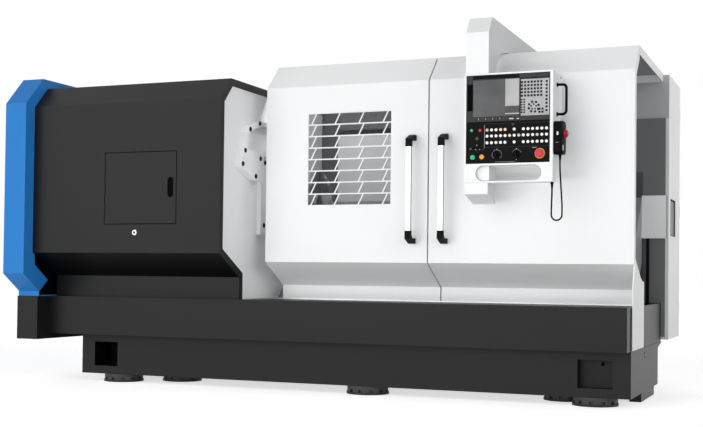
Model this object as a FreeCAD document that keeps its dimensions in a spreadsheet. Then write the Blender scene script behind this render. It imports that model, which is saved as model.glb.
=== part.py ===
"""Large slant-bed CNC turning lathe with a full enclosure, as separate named pieces.

Millimetres. +X runs from the headstock to the tailstock, +Y to the back, +Z up.
The origin is on the floor, under the middle of the whole machine.
"""
import FreeCAD, Part
import math
import os
import re
import Sketcher

V = FreeCAD.Vector

DIMENSIONS = {
    # levelling mounts
    "mount_height": 45, "mount_disc_radius": 114, "mount_disc_height": 12, "crown_radius": 110,
    "crown_notch_half": 11, "crown_notch_depth": 12, "crown_notch_height": 15, "crown_notch_count": 12,
    "mount_row_front": -540, "mount_row_middle": -360, "mount_row_rear": 190,
    "mount_column_left": -1220, "mount_column_inner": -935, "mount_column_centre": 309,
    "mount_column_outer": 1335, "mount_column_right": 1520,
    # long base
    "base_left": -1440, "base_right": 1709, "base_front": -642, "base_rear": 301, "base_top": 274,
    "base_lip_low": 246, "base_lip_high": 270,
    "pocket_low": 90, "pocket_high": 229, "left_pocket_depth": 170, "right_pocket_depth": 60,
    "left_pocket_start": -1355, "left_pocket_end": -1200,
    "right_pocket_start": 1450, "right_pocket_end": 1622,
    "end_block_start": 1648, "end_block_end": 1708, "end_block_front": -299, "end_block_rear": 162,
    # coolant tray and the hollow beam in front of it
    "tray_left": -1604, "tray_right": 1705, "tray_front": -741, "tray_top": 490, "tray_wall": 6,
    "beam_rear": -300, "beam_gap_front": -640, "tray_rim": 30,
    # slanted bed and its two guide rails
    "bed_left": -1380, "bed_right": 1600, "bed_front": -215, "bed_foot_rear": 225, "bed_rear": 430,
    "bed_heel_z": 520, "bed_back_z": 725, "bed_clearance": 2,
    "bed_pocket_first": -1320, "bed_pocket_width": 300, "bed_pocket_pitch": 370, "bed_pocket_count": 8,
    "bed_pocket_low": 790, "bed_pocket_high": 1010, "bed_pocket_depth": 70,
    "rail_left": -390, "rail_right": 1580, "rail_height": 35, "rail_waist": 8,
    "low_rail_start": -300, "low_rail_end": -240, "high_rail_start": 190, "high_rail_end": 250,
    # spindle line
    "spindle_y": -80, "spindle_z": 1050, "bed_drop": 330, "slope": 0.70710678,
    "headstock_left": -900, "headstock_right": -430, "headstock_crown": 520,
    "headstock_heel_front": 290, "headstock_heel_rear": 250, "headstock_heel_height": 70,
    "headstock_cheek": 190, "headstock_cheek_low": 200, "headstock_cheek_high": 440,
    "headstock_crown_half": 110,
    "motor_left": -1400, "motor_radius": 190, "motor_foot_half": 150, "motor_fin_depth": 12,
    "motor_fin_count": 8, "motor_fin_pitch": 50, "motor_fin_gap": 26,
    "spindle_left": -1440, "spindle_radius": 80, "spindle_gap": 1, "spindle_bore": 38,
    "nose_left": -428, "nose_radius": 105, "nose_right": -340,
    "cylinder_left": -1560, "cylinder_radius": 120,
    # chuck
    "chuck_right": -190, "chuck_radius": 200, "chuck_bore": 45, "chuck_chamfer": 10,
    "jaw_slot_floor": -240, "jaw_slot_half": 22, "jaw_gap": 0.3, "jaw_inner": 62, "jaw_outer": 186,
    "jaw_step_radius": 105, "jaw_step_face": -150, "jaw_face": -120, "jaw_step": 20, "jaw_turn": 120,
    # headstock cover (folded sheet) and what sits in it
    "sheet": 5, "cover_left": -1604, "cover_right": -403, "cover_toe_y": -674, "cover_shin_z": 610,
    "cover_front": -907, "cover_knee_z": 738, "cover_brow_z": 1566, "cover_crown_y": -794,
    "cover_top": 1686, "cover_rear": 446, "cover_rim": 40,
    "access_left": -1123, "access_right": -671, "access_low": 898, "access_high": 1288,
    "access_gap": 3.5, "finger_slot_x": -706, "finger_slot_low": 1058, "finger_slot_high": 1131,
    "finger_slot_radius": 18.5,
    "lock_x": -925, "lock_z": 849, "lock_radius": 13, "lock_proud": 8, "lock_stem_radius": 6,
    "lock_stem_length": 22, "lock_gap": 0.3, "lock_slit_half": 6, "lock_slit_width": 2,
    "lock_slit_depth": 3,
    "knuckle_x": -1122, "knuckle_y": -908.5, "knuckle_radius": 2.5, "knuckle_length": 60,
    "knuckle_low": 950, "knuckle_pitch": 113,
    # end cover and its foot
    "end_left": -1744, "end_toe_y": -844, "end_shin_z": 518, "end_front": -985, "end_knee_z": 618,
    "end_brow_z": 1581, "end_crown_y": -835, "end_top": 1739, "end_flange": 100,
    "end_mitre_run": 82, "end_mitre_rise": 64,
    "foot_front": -854, "foot_bottom": 243,
    # white panel that closes the headstock side, and the guards bolted to it
    "panel_thickness": 6, "spindle_hole_radius": 125,
    "guard_depth": 41, "guard_sheet": 4, "leg_depth": 24,
    "leg_front": -463, "leg_rear": -300, "leg_low": 852, "leg_rise": 8, "leg_high": 1289,
    # sliding doors
    "door_sheet": 4, "door_flange": 50, "door_bottom": 496.3, "door_toe_y": -332,
    "door_shin_z": 570, "door_knee_z": 698, "door_front": -565, "door_brow_z": 1659,
    "door_crown_y": -422, "roof_top": 1800,
    "left_door_start": -300, "left_door_end": 641, "right_door_start": 649, "right_door_end": 1708,
    "end_plate_low": 277, "end_plate_front": -615, "end_plate_shin_z": 575, "end_plate_rear": -252,
    "end_plate_top": 613, "end_plate_inner": -300,
    # window with its guard
    "window_left": -47, "window_right": 435, "window_low": 1006, "window_high": 1509,
    "window_lap": 20, "guard_plate": 6, "guard_rows": 8, "guard_bar": 6.5, "guard_lean": 28,
    "guard_first_bar": -16, "guard_column_pitch": 139, "glass_thickness": 8,
    # door handles
    "handle_low": 798, "handle_high": 1369, "handle_cap_height": 66, "handle_leg": 28,
    "handle_front": -649, "handle_bar_depth": 20, "handle_cap_skin": 3, "handle_slope": 58,
    "handle_drop": 25, "handle_fillet": 14,
    "left_handle_start": 546, "right_handle_start": 722, "handle_width": 33,
    # rails that carry the doors, and the roof
    "rail_strip_left": -360, "rail_strip_front": -345, "rail_strip_rear": -285, "rail_strip_height": 6,
    "top_rail_front": -412, "top_rail_rear": -396, "top_rail_height": 44,
    "roof_front": -420, "roof_drop": 46, "roof_sheet": 4,
    # rear wall, cabinet and what is at the right end
    "rear_wall_rear": 459, "rear_wall_right": 1726, "rear_wall_low": 300, "rear_wall_high": 1546,
    "cabinet_left": -300, "cabinet_right": 1744, "cabinet_rear": 965, "cabinet_low": 284,
    "cabinet_high": 1794, "cabinet_wall": 8,
    "cabinet_window_front": 524, "cabinet_window_rear": 777, "cabinet_window_low": 870,
    "cabinet_window_high": 1098,
    "cabinet_door_gap": 2, "cabinet_door_side_gap": 6, "cabinet_door_thickness": 12.7,
    "cabinet_door_offset": 0.3, "cabinet_door_split": 722, "cabinet_door_edge": 22,
    "cabinet_door_sheet": 2,
    "latch_width": 36, "latch_height": 150, "latch_low": 965, "latch_inset": 30, "latch_proud": 7,
    "hinge_radius": 6, "hinge_length": 70, "hinge_low": 420, "hinge_pitch": 584,
    "side_box_left": 1600, "side_box_front": 412, "side_box_rear": 775, "side_box_low": 859,
    "side_box_high": 1102,
    "drain_x": 1634, "drain_y": 425, "drain_radius": 9,
    # pendant arm and housing
    "arm_left": 918, "arm_right": 1035, "arm_front": -810, "arm_recess": -784, "arm_back": -661,
    "arm_toe_front": 1036, "arm_toe_back": 995, "arm_chin_y": -743, "arm_top": 1924,
    "arm_shoulder": 1839, "arm_tail": 350, "arm_elbow_z": 1692, "arm_bridge_y": -584,
    "arm_bridge_z": 1769, "arm_lip_y": -427, "arm_lip_z": 1803, "arm_seat_y": -405,
    "arm_recess_low": 1091, "arm_recess_high": 1633,
    "pendant_left": 912, "pendant_right": 1357, "pendant_skin": 25, "pendant_low": 1092,
    "pendant_toe_y": -735, "pendant_knee_y": -660, "pendant_knee_z": 1385, "pendant_rear": -602,
    "pendant_brow_z": 1470, "pendant_high": 1632, "pendant_bay": 1040,
    "hand_hole_left": 1011, "hand_hole_right": 1263, "hand_hole_z": 1138, "hand_hole_radius": 38,
    # control panel: everything on it is placed by its centre
    "panel_left": 922, "panel_right": 1343, "panel_low": 1186, "panel_high": 1624,
    "panel_recess": 7, "panel_plate": 6, "panel_split": 1391,
    "screen_left": 955, "screen_right": 1190, "screen_low": 1417, "screen_high": 1599,
    "screen_seat": 3, "screen_plate": 2.5,
    "keypad_left": 1197, "keypad_right": 1339, "keypad_low": 1413, "keypad_high": 1595,
    "card_slot_left": 930, "card_slot_right": 954, "card_slot_low": 1448, "card_slot_high": 1582,
    "recess_depth": 1.5,
    "soft_key_left": 971, "soft_key_pitch": 18, "soft_key_width": 12, "soft_key_low": 1400,
    "soft_key_high": 1412, "key_proud": 2,
    "round_key_left": 1030, "round_key_pitch": 22.8, "round_key_radius": 7.2,
    "round_key_top_z": 1351, "round_key_middle_z": 1321, "round_key_low_z": 1288,
    "small_button_radius": 7, "large_button_radius": 11.5, "button_proud": 7, "button_gap": 0.5,
    "button_stem": 2,
    "power_on_x": 952, "power_on_z": 1351, "power_off_x": 995, "power_off_z": 1350,
    "cycle_start_x": 958, "cycle_start_z": 1218, "feed_hold_x": 1005, "feed_hold_z": 1219,
    "feed_knob_x": 1080, "rapid_knob_x": 1179, "knob_z": 1229, "knob_radius": 13,
    "knob_skirt_radius": 18, "knob_skirt": 4, "knob_height": 20, "knob_grip_half": 4.5,
    "knob_stem_radius": 5, "knob_gap": 0.4,
    "estop_x": 1295, "estop_z": 1229, "estop_ring_radius": 25, "estop_ring_height": 6,
    "estop_bore": 12.5, "estop_stem_radius": 12, "estop_cap_radius": 20, "estop_cap_height": 12,
    "estop_gap": 6, "estop_edge": 4, "control_way_depth": 12,
    # pendant handle, handwheel unit and its cable
    "grip_y": -725, "grip_low": 1426.5, "grip_high": 1571.5, "grip_reach": 1404, "grip_radius": 6.5,
    "grip_bend": 18,
    "wheel_right": 1402, "wheel_front": -800, "wheel_rear": -720, "wheel_low": 1226,
    "wheel_high": 1385, "wheel_corner": 14, "dial_z": 1326, "dial_radius": 24, "dial_height": 10,
    "dial_gap": 0.5, "dial_cap_radius": 16, "dial_cap_height": 8, "dial_edge": 3,
    "cable_y": -773, "cable_radius": 4, "cable_arc_share": 0.45,
    # carriage, cross slide and turret
    "saddle_left": 420, "saddle_right": 720, "saddle_start": -335, "saddle_end": 385,
    "saddle_low": 35.3, "saddle_high": 110, "saddle_skirt": 60, "saddle_rail_gap": 0.4,
    "slide_gap": 0.3, "slide_step": 10,
    "slide_start": 60, "slide_end": 385, "slide_cap": 170, "turret_house_start": 190,
    "turret_house_end": 385, "turret_house_top": 470, "turret_house_left": 420.3,
    "turret_house_right": 690, "turret_house_chamfer": 60,
    "turret_centre_s": 310, "turret_radius": 175, "turret_left": 344, "turret_right": 420,
    "turret_hub_radius": 60, "turret_hub_proud": 12, "turret_sides": 12, "turret_flat": 169,
    "holder_half": 26, "holder_outer": 215, "tool_reach": 300,
    "tool_half": 10, "tool_inner": 186,
    # tailstock
    "tail_left": 1290, "tail_right": 1520, "tail_start": -335, "tail_end": 300,
    "quill_radius": 55, "quill_left": 1240, "quill_right": 1500, "quill_housing": 95,
    "quill_gap": 0.05, "quill_nose": 20, "centre_radius": 28, "centre_left": 1180, "centre_rim": 12,
    "tail_foot_half": 230, "tail_shoulder": 20,
}

# Side outlines as (y, z), from the front toe up over the top
COVER_SIDE = [
    ("cover_toe_y", "tray_top"), ("cover_toe_y", "cover_shin_z"), ("cover_front", "cover_knee_z"),
    ("cover_front", "cover_brow_z"), ("cover_crown_y", "cover_top"), ("cover_rear", "cover_top"),
    ("cover_rear", "tray_top"),
]
END_COVER_SIDE = [
    ("end_toe_y", "tray_top"), ("end_toe_y", "end_shin_z"), ("end_front", "end_knee_z"),
    ("end_front", "end_brow_z"), ("end_crown_y", "end_top"), ("cover_rear", "end_top"),
    ("cover_rear", "tray_top"),
]
DOOR_SIDE = [
    ("door_toe_y", "door_bottom"), ("door_toe_y", "door_shin_z"), ("door_front", "door_knee_z"),
    ("door_front", "door_brow_z"), ("door_crown_y", "roof_top"),
]
# The guard beside the chuck, and the arch through it
GUARD_SIDE = [
    (-738, 1214), (-709, 1303), (-672, 1408), (-636, 1451), (-540, 1487), (-300, 1487),
    (-200, 1451), (-165, 1408), (-130, 1290), (-463, 1290), (-487, 1150), (-562, 1150),
]
GUARD_ARCH = [
    (-661, 1315), (-640, 1409), (-581, 1435), (-483, 1461), (-355, 1461), (-257, 1435),
    (-198, 1409), (-177, 1315),
]
# The cable hangs in the plane y = cable_y: points as (x, z), from the unit round to the pendant
CABLE_ROUTE = [
    (1385, 1226), (1385, 1156), (1389.5, 1082), (1394, 1022), (1396.5, 982), (1396.8, 945),
    (1396.3, 921), (1381.5, 906.5), (1359.8, 906), (1344.8, 921.5), (1344.2, 946), (1345.6, 984),
    (1347, 1038), (1347, 1092),
]

doc = FreeCAD.newDocument("turning_lathe")
sheet = doc.addObject("Spreadsheet::Sheet", "dim")
nodes = []


# ---------------------------------------------------------------- helpers

def fill_sheet():
    for row, (word, number) in enumerate(DIMENSIONS.items(), 1):
        sheet.set(f"A{row}", word)
        sheet.set(f"B{row}", str(number))
        sheet.setAlias(f"B{row}", word)
    doc.recompute()


def bound(size):
    """The size as an expression on the sheet's cells."""
    return re.sub(r"[A-Za-z_]\w*", lambda word: "dim." + word.group(0), str(size))


def value(size):
    """The size as a number of millimetres."""
    text = re.sub(r"[A-Za-z_]\w*", lambda word: f"({DIMENSIONS[word.group(0)]})", str(size))
    return FreeCAD.Units.Quantity(text).Value


def keep(piece, label):
    """Name a finished sub-part: its label is the name of its node and of its file."""
    piece.Label = label
    nodes.append(piece)
    return piece


def origin_feature(body, role):
    for feature in body.Origin.OriginFeatures:
        if feature.Role == role:
            return feature
    raise ValueError(role)


def tie(sketch, geometry, point, u, v):
    """Hold one point of the sketch at (u, v) from the sketch's origin."""
    for direction, size in (("DistanceX", u), ("DistanceY", v)):
        index = sketch.addConstraint(Sketcher.Constraint(direction, -1, 1, geometry, point, value(size)))
        sketch.setExpression(f"Constraints[{index}]", bound(size))


def add_polygon(sketch, corners):
    spots = [V(value(u), value(v), 0) for u, v in corners]
    first = sketch.GeometryCount
    count = len(spots)
    for i in range(count):
        sketch.addGeometry(Part.LineSegment(spots[i], spots[(i + 1) % count]), False)
    for i in range(count):
        sketch.addConstraint(Sketcher.Constraint("Coincident", first + i, 2, first + (i + 1) % count, 1))
    for i, (u, v) in enumerate(corners):
        tie(sketch, first + i, 1, u, v)


def add_circle(sketch, u, v, radius):
    spot = V(value(u), value(v), 0)
    index = sketch.addGeometry(Part.Circle(spot, V(0, 0, 1), value(radius)), False)
    tie(sketch, index, 3, u, v)
    ring = sketch.addConstraint(Sketcher.Constraint("Radius", index, value(radius)))
    sketch.setExpression(f"Constraints[{ring}]", bound(radius))


def add_slot(sketch, start, end, radius):
    """A slot with round ends: two half circles joined by two lines."""
    spots = [V(value(u), value(v), 0) for u, v in (start, end)]
    along = math.atan2(spots[1].y - spots[0].y, spots[1].x - spots[0].x)
    reach = value(radius)
    quarter = math.pi / 2
    side = V(-math.sin(along) * reach, math.cos(along) * reach, 0)
    far = sketch.addGeometry(Part.ArcOfCircle(
        Part.Circle(spots[1], V(0, 0, 1), reach), along - quarter, along + quarter), False)
    left = sketch.addGeometry(Part.LineSegment(spots[1] + side, spots[0] + side), False)
    near = sketch.addGeometry(Part.ArcOfCircle(
        Part.Circle(spots[0], V(0, 0, 1), reach), along + quarter, along + 3 * quarter), False)
    right = sketch.addGeometry(Part.LineSegment(spots[0] - side, spots[1] - side), False)
    for first, second in ((far, left), (left, near), (near, right), (right, far)):
        sketch.addConstraint(Sketcher.Constraint("Tangent", first, 2, second, 1))
    tie(sketch, near, 3, *start)
    tie(sketch, far, 3, *end)
    sketch.addConstraint(Sketcher.Constraint("Equal", near, far))
    ring = sketch.addConstraint(Sketcher.Constraint("Radius", near, reach))
    sketch.setExpression(f"Constraints[{ring}]", bound(radius))


def add_loops(sketch, loops):
    for loop in loops:
        if loop[0] == "circle":
            add_circle(sketch, *loop[1:])
        elif loop[0] == "slot":
            add_slot(sketch, *loop[1:])
        else:
            add_polygon(sketch, loop)


def new_sketch(body, name, axis, at, loops):
    """A sketch square to the axis, at that distance along it: (y, z), (x, z) or (x, y)."""
    sketch = body.newObject("Sketcher::SketchObject", name + "_sketch")
    role = {"X": "YZ_Plane", "Y": "XZ_Plane", "Z": "XY_Plane"}[axis]
    sketch.AttachmentSupport = [(origin_feature(body, role), "")]
    sketch.MapMode = "FlatFace"
    sign = "-" if axis == "Y" else ""
    sketch.setExpression("AttachmentOffset.Base.z", bound(f"{sign}({at})"))
    add_loops(sketch, loops)
    return sketch


def new_body(name):
    return doc.addObject("PartDesign::Body", name)


def pad(body, name, axis, start, length, *loops):
    """Add the solid between start and start + length along the axis."""
    at = f"{start}+({length})" if axis == "Y" else start
    feature = body.newObject("PartDesign::Pad", name)
    feature.Profile = new_sketch(body, name, axis, at, loops)
    feature.setExpression("Length", bound(length))
    body.Tip = feature
    return feature


def cut(body, name, axis, start, length, *loops):
    """Take away what lies between start and start + length along the axis."""
    feature = body.newObject("PartDesign::Pocket", name)
    feature.Profile = new_sketch(body, name, axis, start, loops)
    feature.setExpression("Length", bound(length))
    feature.Reversed = axis != "Y"
    body.Tip = feature
    return feature


def turned(body, name, profile):
    """A solid of revolution about the body's own X axis, from an (x, radius) outline."""
    feature = body.newObject("PartDesign::Revolution", name)
    feature.Profile = new_sketch(body, name, "Z", "0", [profile])
    feature.ReferenceAxis = (origin_feature(body, "X_Axis"), [""])
    feature.Angle = 360
    body.Tip = feature
    return feature


def ring_of(body, name, feature, count, axis="X"):
    pattern = body.newObject("PartDesign::PolarPattern", name)
    pattern.Originals = [feature]
    pattern.Axis = (origin_feature(body, axis + "_Axis"), [""])
    pattern.Angle = 360
    pattern.setExpression("Occurrences", bound(count))
    body.Tip = pattern
    return pattern


def row_of(body, name, feature, axis, pitch, count):
    pattern = body.newObject("PartDesign::LinearPattern", name)
    pattern.Originals = [feature]
    pattern.Direction = (origin_feature(body, axis + "_Axis"), [""])
    pattern.setExpression("Length", bound(f"({pitch})*({count}-1)"))
    pattern.setExpression("Occurrences", bound(count))
    body.Tip = pattern
    return pattern


def prism(label, axis, start, length, *loops):
    body = new_body(label)
    pad(body, label + "_pad", axis, start, length, *loops)
    return body


def rect(u_low, v_low, u_high, v_high):
    return [(u_low, v_low), (u_high, v_low), (u_high, v_high), (u_low, v_high)]


def place(piece, x=0, y=0, z=0):
    for letter, size in zip("xyz", (x, y, z)):
        piece.setExpression("Placement.Base." + letter, bound(size))
    return piece


def block(name, low, high):
    """A box between two corners."""
    box = doc.addObject("Part::Box", name)
    for side, near, far in zip(("Length", "Width", "Height"), low, high):
        box.setExpression(side, bound(f"({far})-({near})"))
    return place(box, *low)


def rod(name, axis, start, length, radius):
    """A round bar from a point, along +X, +Y or +Z."""
    bar = doc.addObject("Part::Cylinder", name)
    turn = {"X": (V(0, 1, 0), 90), "Y": (V(1, 0, 0), -90), "Z": (V(0, 0, 1), 0)}[axis]
    bar.Placement.Rotation = FreeCAD.Rotation(*turn)
    bar.setExpression("Height", bound(length))
    bar.setExpression("Radius", bound(radius))
    return place(bar, *start)


def fused(name, *pieces):
    union = doc.addObject("Part::MultiFuse", name)
    union.Shapes = list(pieces)
    return union


def carved(name, base, *tools):
    result = doc.addObject("Part::Cut", name)
    result.Base = base
    result.Tool = tools[0] if len(tools) == 1 else fused(name + "_tools", *tools)
    return result


def group(name, pieces):
    """Separate solids kept as one sub-part."""
    bundle = doc.addObject("Part::Compound", name)
    bundle.Links = pieces
    return bundle


def inner_path(path, depth, closed=False, plumb_end=False):
    """The path moved inwards by the depth, with mitred corners."""
    spots = [(value(u), value(v)) for u, v in path]
    count = len(spots)
    moved = []
    for i, (u, v) in enumerate(path):
        normals = []
        for a, b in ((i - 1, i), (i, i + 1)):
            if closed or (a >= 0 and b < count):
                (u_from, v_from), (u_to, v_to) = spots[a % count], spots[b % count]
                run = math.hypot(u_to - u_from, v_to - v_from)
                normals.append(((v_to - v_from) / run, (u_from - u_to) / run))
        (a, b), (c, d) = normals[0], normals[-1]
        share = 1 + a * c + b * d
        step = ((a + c) / share, (b + d) / share)
        if plumb_end and i == count - 1:
            step = (0, 1 / b)
        moved.append((f"{u}+({step[0]:.5f})*{depth}", f"{v}+({step[1]:.5f})*{depth}"))
    return moved


def folded(path, depth, plumb_end=False):
    """The closed section of a sheet or flange that follows the path on its inner side."""
    return path + inner_path(path, depth, plumb_end=plumb_end)[::-1]


def on_slope(across, height):
    """A (y, z) point of the slanted bed: across it from below the spindle, and up from its face."""
    return (f"spindle_y+(bed_drop+({across})-({height}))*slope",
            f"spindle_z+(0-bed_drop+({across})+({height}))*slope")


def slope_line(y, gap=0):
    """The height of the slanted face at that y, lifted by the gap."""
    return f"{y}+spindle_z-spindle_y-2*bed_drop*slope+{gap}"


def on_spindle(body, turn=0):
    """Put the body's origin on the spindle line, turned about it."""
    body.Placement.Rotation = FreeCAD.Rotation(V(1, 0, 0), turn)
    return place(body, 0, "spindle_y", "spindle_z")


# ---------------------------------------------------------------- base and tray

def make_base():
    body = new_body("bed_base")
    side = [("base_front", "mount_height"), ("base_rear", "mount_height"), ("base_rear", "base_lip_low"),
            ("cover_rear", "base_lip_high"), ("cover_rear", "base_top"), ("base_front", "base_top")]
    pad(body, "base_block", "X", "base_left", "base_right-base_left", side)
    for side in ("left", "right"):
        cut(body, f"{side}_pocket", "Y", "base_front", f"{side}_pocket_depth",
            rect(f"{side}_pocket_start", "pocket_low", f"{side}_pocket_end", "pocket_high"))
    pad(body, "end_block", "Z", "0", "mount_height",
        rect("end_block_start", "end_block_front", "end_block_end", "end_block_rear"))
    keep(body, "bed_base")


def make_mounts():
    spots = [("left", "front"), ("centre", "front"), ("right", "front"),
             ("inner", "middle"), ("outer", "middle"),
             ("left", "rear"), ("centre", "rear"), ("right", "rear")]
    mounts = []
    for column, row in spots:
        body = new_body(f"mount_{column}_{row}")
        place(body, f"mount_column_{column}", f"mount_row_{row}", 0)
        pad(body, "disc", "Z", "0", "mount_disc_height", ("circle", "0", "0", "mount_disc_radius"))
        pad(body, "crown", "Z", "mount_disc_height", "mount_height-mount_disc_height",
            ("circle", "0", "0", "crown_radius"))
        notch = cut(body, "crown_notch", "Z", "mount_disc_height", "crown_notch_height",
                    rect("0-crown_notch_half", "crown_radius-crown_notch_depth",
                         "crown_notch_half", "crown_radius+1"))
        ring_of(body, "crown_notches", notch, "crown_notch_count", "Z")
        mounts.append(body)
    keep(group("mounts", mounts), "leveling_mounts")


def make_tray():
    inner_left, inner_right = "tray_left+tray_wall", "tray_right-tray_wall"
    floor, ceiling = "base_top+tray_wall", "tray_top-tray_wall"
    front, rear = "tray_front+tray_wall", "beam_rear-tray_wall"
    plates = {
        "bottom": (("tray_left", "tray_front", "base_top"), ("tray_right", "beam_rear", floor)),
        "top": (("tray_left", "tray_front", ceiling), ("tray_right", "beam_rear", "tray_top")),
        "front": (("tray_left", "tray_front", floor), ("tray_right", front, ceiling)),
        "rear": (("tray_left", rear, floor), ("tray_right", "beam_rear", ceiling)),
        "left_end": (("tray_left", front, floor), (inner_left, rear, ceiling)),
        "right_end": ((inner_right, front, floor), ("tray_right", "beam_gap_front", ceiling)),
    }
    keep(group("beam_plates", [block(f"beam_{side}_plate", *corners) for side, corners in plates.items()]),
         "front_beam")
    body = new_body("coolant_tray")
    pad(body, "tray_block", "Z", "base_top", "tray_top-base_top",
        rect("tray_left", "beam_rear", "tray_right", "cover_rear"))
    cut(body, "trough", "Z", "base_top+tray_wall", "tray_top-base_top-tray_wall",
        rect(inner_left, "beam_rear+tray_wall", inner_right, "cover_rear-tray_wall"))
    hole = rect("bed_left-bed_clearance", "bed_front-bed_clearance",
                "bed_right+bed_clearance", "bed_foot_rear+bed_clearance")
    rim = rect("bed_left-bed_clearance-tray_wall", "bed_front-bed_clearance-tray_wall",
               "bed_right+bed_clearance+tray_wall", "bed_foot_rear+bed_clearance+tray_wall")
    pad(body, "floor_rim", "Z", "base_top+tray_wall", "tray_rim", rim, hole)
    cut(body, "floor_opening", "Z", "base_top", "tray_wall", hole)
    keep(body, "coolant_tray")


def make_bed():
    body = new_body("slant_bed")
    side = [("bed_front", "base_top"), ("bed_foot_rear", "base_top"), ("bed_foot_rear", "bed_heel_z"),
            ("bed_rear", "bed_back_z"), ("bed_rear", slope_line("bed_rear")),
            ("bed_front", slope_line("bed_front"))]
    pad(body, "bed_block", "X", "bed_left", "bed_right-bed_left", side)
    pocket = cut(body, "rear_pocket", "Y", "bed_rear-bed_pocket_depth", "bed_pocket_depth",
                 rect("bed_pocket_first", "bed_pocket_low",
                      "bed_pocket_first+bed_pocket_width", "bed_pocket_high"))
    row_of(body, "rear_pockets", pocket, "X", "bed_pocket_pitch", "bed_pocket_count")
    keep(body, "slant_bed")
    rails = []
    for name in ("low_rail", "high_rail"):
        start, end = name + "_start", name + "_end"
        section = [(start, "0"), (end, "0"), (end, "rail_height*0.3"),
                   (f"{end}-rail_waist", "rail_height*0.5"), (end, "rail_height*0.7"),
                   (end, "rail_height"), (start, "rail_height"), (start, "rail_height*0.7"),
                   (f"{start}+rail_waist", "rail_height*0.5"), (start, "rail_height*0.3")]
        rails.append(prism(name, "X", "rail_left", "rail_right-rail_left",
                           [on_slope(*spot) for spot in section]))
    keep(group("rails", rails), "guide_rails")


# ---------------------------------------------------------------- spindle line

def make_headstock():
    body = new_body("headstock_casting")
    cheek, half = "headstock_cheek", "headstock_crown_half"
    section = [("0-headstock_heel_front", 0), ("0-headstock_heel_front", "headstock_heel_height"),
               (f"0-{cheek}", "headstock_cheek_low"), (f"0-{cheek}", "headstock_cheek_high"),
               (f"0-{half}", "headstock_crown"), (half, "headstock_crown"),
               (cheek, "headstock_cheek_high"), (cheek, "headstock_cheek_low"),
               ("headstock_heel_rear", "headstock_heel_height"), ("headstock_heel_rear", 0)]
    pad(body, "headstock_block", "X", "headstock_left", "headstock_right-headstock_left",
        [on_slope(*spot) for spot in section])
    cut(body, "spindle_bore", "X", "headstock_left", "headstock_right-headstock_left",
        ("circle", "spindle_y", "spindle_z", "spindle_radius+spindle_gap"))
    keep(body, "headstock_casting")


def make_motor():
    body = on_spindle(new_body("motor_case"))
    fins = [("motor_left", "spindle_radius+spindle_gap"), ("motor_left", "motor_radius")]
    for i in range(DIMENSIONS["motor_fin_count"]):
        start = f"motor_left+{i + 1}*motor_fin_pitch"
        fins += [(start, "motor_radius"), (start, "motor_radius-motor_fin_depth"),
                 (f"{start}+motor_fin_gap", "motor_radius-motor_fin_depth"),
                 (f"{start}+motor_fin_gap", "motor_radius")]
    fins += [("headstock_left", "motor_radius"), ("headstock_left", "spindle_radius+spindle_gap")]
    turned(body, "motor_shell", fins)
    foot = prism("motor_foot", "X", "bed_left", "headstock_left-bed_left",
                 [on_slope(*spot) for spot in (("0-motor_foot_half", 0), ("motor_foot_half", 0),
                                               ("motor_foot_half", "bed_drop"),
                                               ("0-motor_foot_half", "bed_drop"))])
    shaft = rod("motor_shaft_way", "X", ("motor_left", "spindle_y", "spindle_z"),
                "headstock_left-motor_left", "spindle_radius+spindle_gap")
    keep(fused("motor", body, carved("bored_motor_foot", foot, shaft)), "spindle_motor")


def make_spindle():
    shaft = on_spindle(new_body("spindle"))
    turned(shaft, "shaft", [
        ("spindle_left", "spindle_bore"), ("spindle_left", "spindle_radius"),
        ("nose_left", "spindle_radius"), ("nose_left", "nose_radius"),
        ("nose_right", "nose_radius"), ("nose_right", "spindle_bore")])
    keep(shaft, "spindle")
    cylinder = on_spindle(new_body("chuck_cylinder"))
    step = "(spindle_left-cylinder_left)*0.25"
    turned(cylinder, "cylinder", [
        ("cylinder_left", "spindle_bore"), ("cylinder_left", "cylinder_radius*0.6"),
        (f"cylinder_left+{step}", "cylinder_radius*0.6"), (f"cylinder_left+{step}", "cylinder_radius"),
        (f"spindle_left-{step}", "cylinder_radius"), (f"spindle_left-{step}", "cylinder_radius*0.8"),
        ("spindle_left", "cylinder_radius*0.8"), ("spindle_left", "spindle_bore")])
    keep(cylinder, "chuck_cylinder")


def make_chuck():
    body = on_spindle(new_body("chuck_body"))
    turned(body, "chuck_disc", [
        ("nose_right", "chuck_bore"), ("nose_right", "chuck_radius-chuck_chamfer"),
        ("nose_right+chuck_chamfer", "chuck_radius"), ("chuck_right-chuck_chamfer", "chuck_radius"),
        ("chuck_right", "chuck_radius-chuck_chamfer"), ("chuck_right", "chuck_bore")])
    slot = cut(body, "jaw_slot", "X", "jaw_slot_floor", "chuck_right-jaw_slot_floor",
               rect("0-jaw_slot_half", "chuck_bore*0.5", "jaw_slot_half", "chuck_radius+chuck_chamfer"))
    ring_of(body, "jaw_slots", slot, "3")
    keep(body, "chuck_body")
    for i in range(3):
        jaw = on_spindle(new_body(f"chuck_jaw_{i + 1}"), DIMENSIONS["jaw_turn"] * i)
        half = "jaw_slot_half-jaw_gap"
        pad(jaw, f"jaw_{i + 1}_block", "Y", f"0-({half})", f"2*({half})", [
            ("jaw_slot_floor+jaw_gap", "jaw_inner"), ("jaw_face", "jaw_inner"),
            ("jaw_face", "jaw_step_radius"), ("jaw_step_face", "jaw_step_radius"),
            ("jaw_step_face", "(jaw_step_radius+jaw_outer)/2"),
            ("jaw_step_face-jaw_step", "(jaw_step_radius+jaw_outer)/2"),
            ("jaw_step_face-jaw_step", "jaw_outer"), ("jaw_slot_floor+jaw_gap", "jaw_outer")])
        keep(jaw, f"chuck_jaw_{i + 1}")


# ---------------------------------------------------------------- covers on the left

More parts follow.
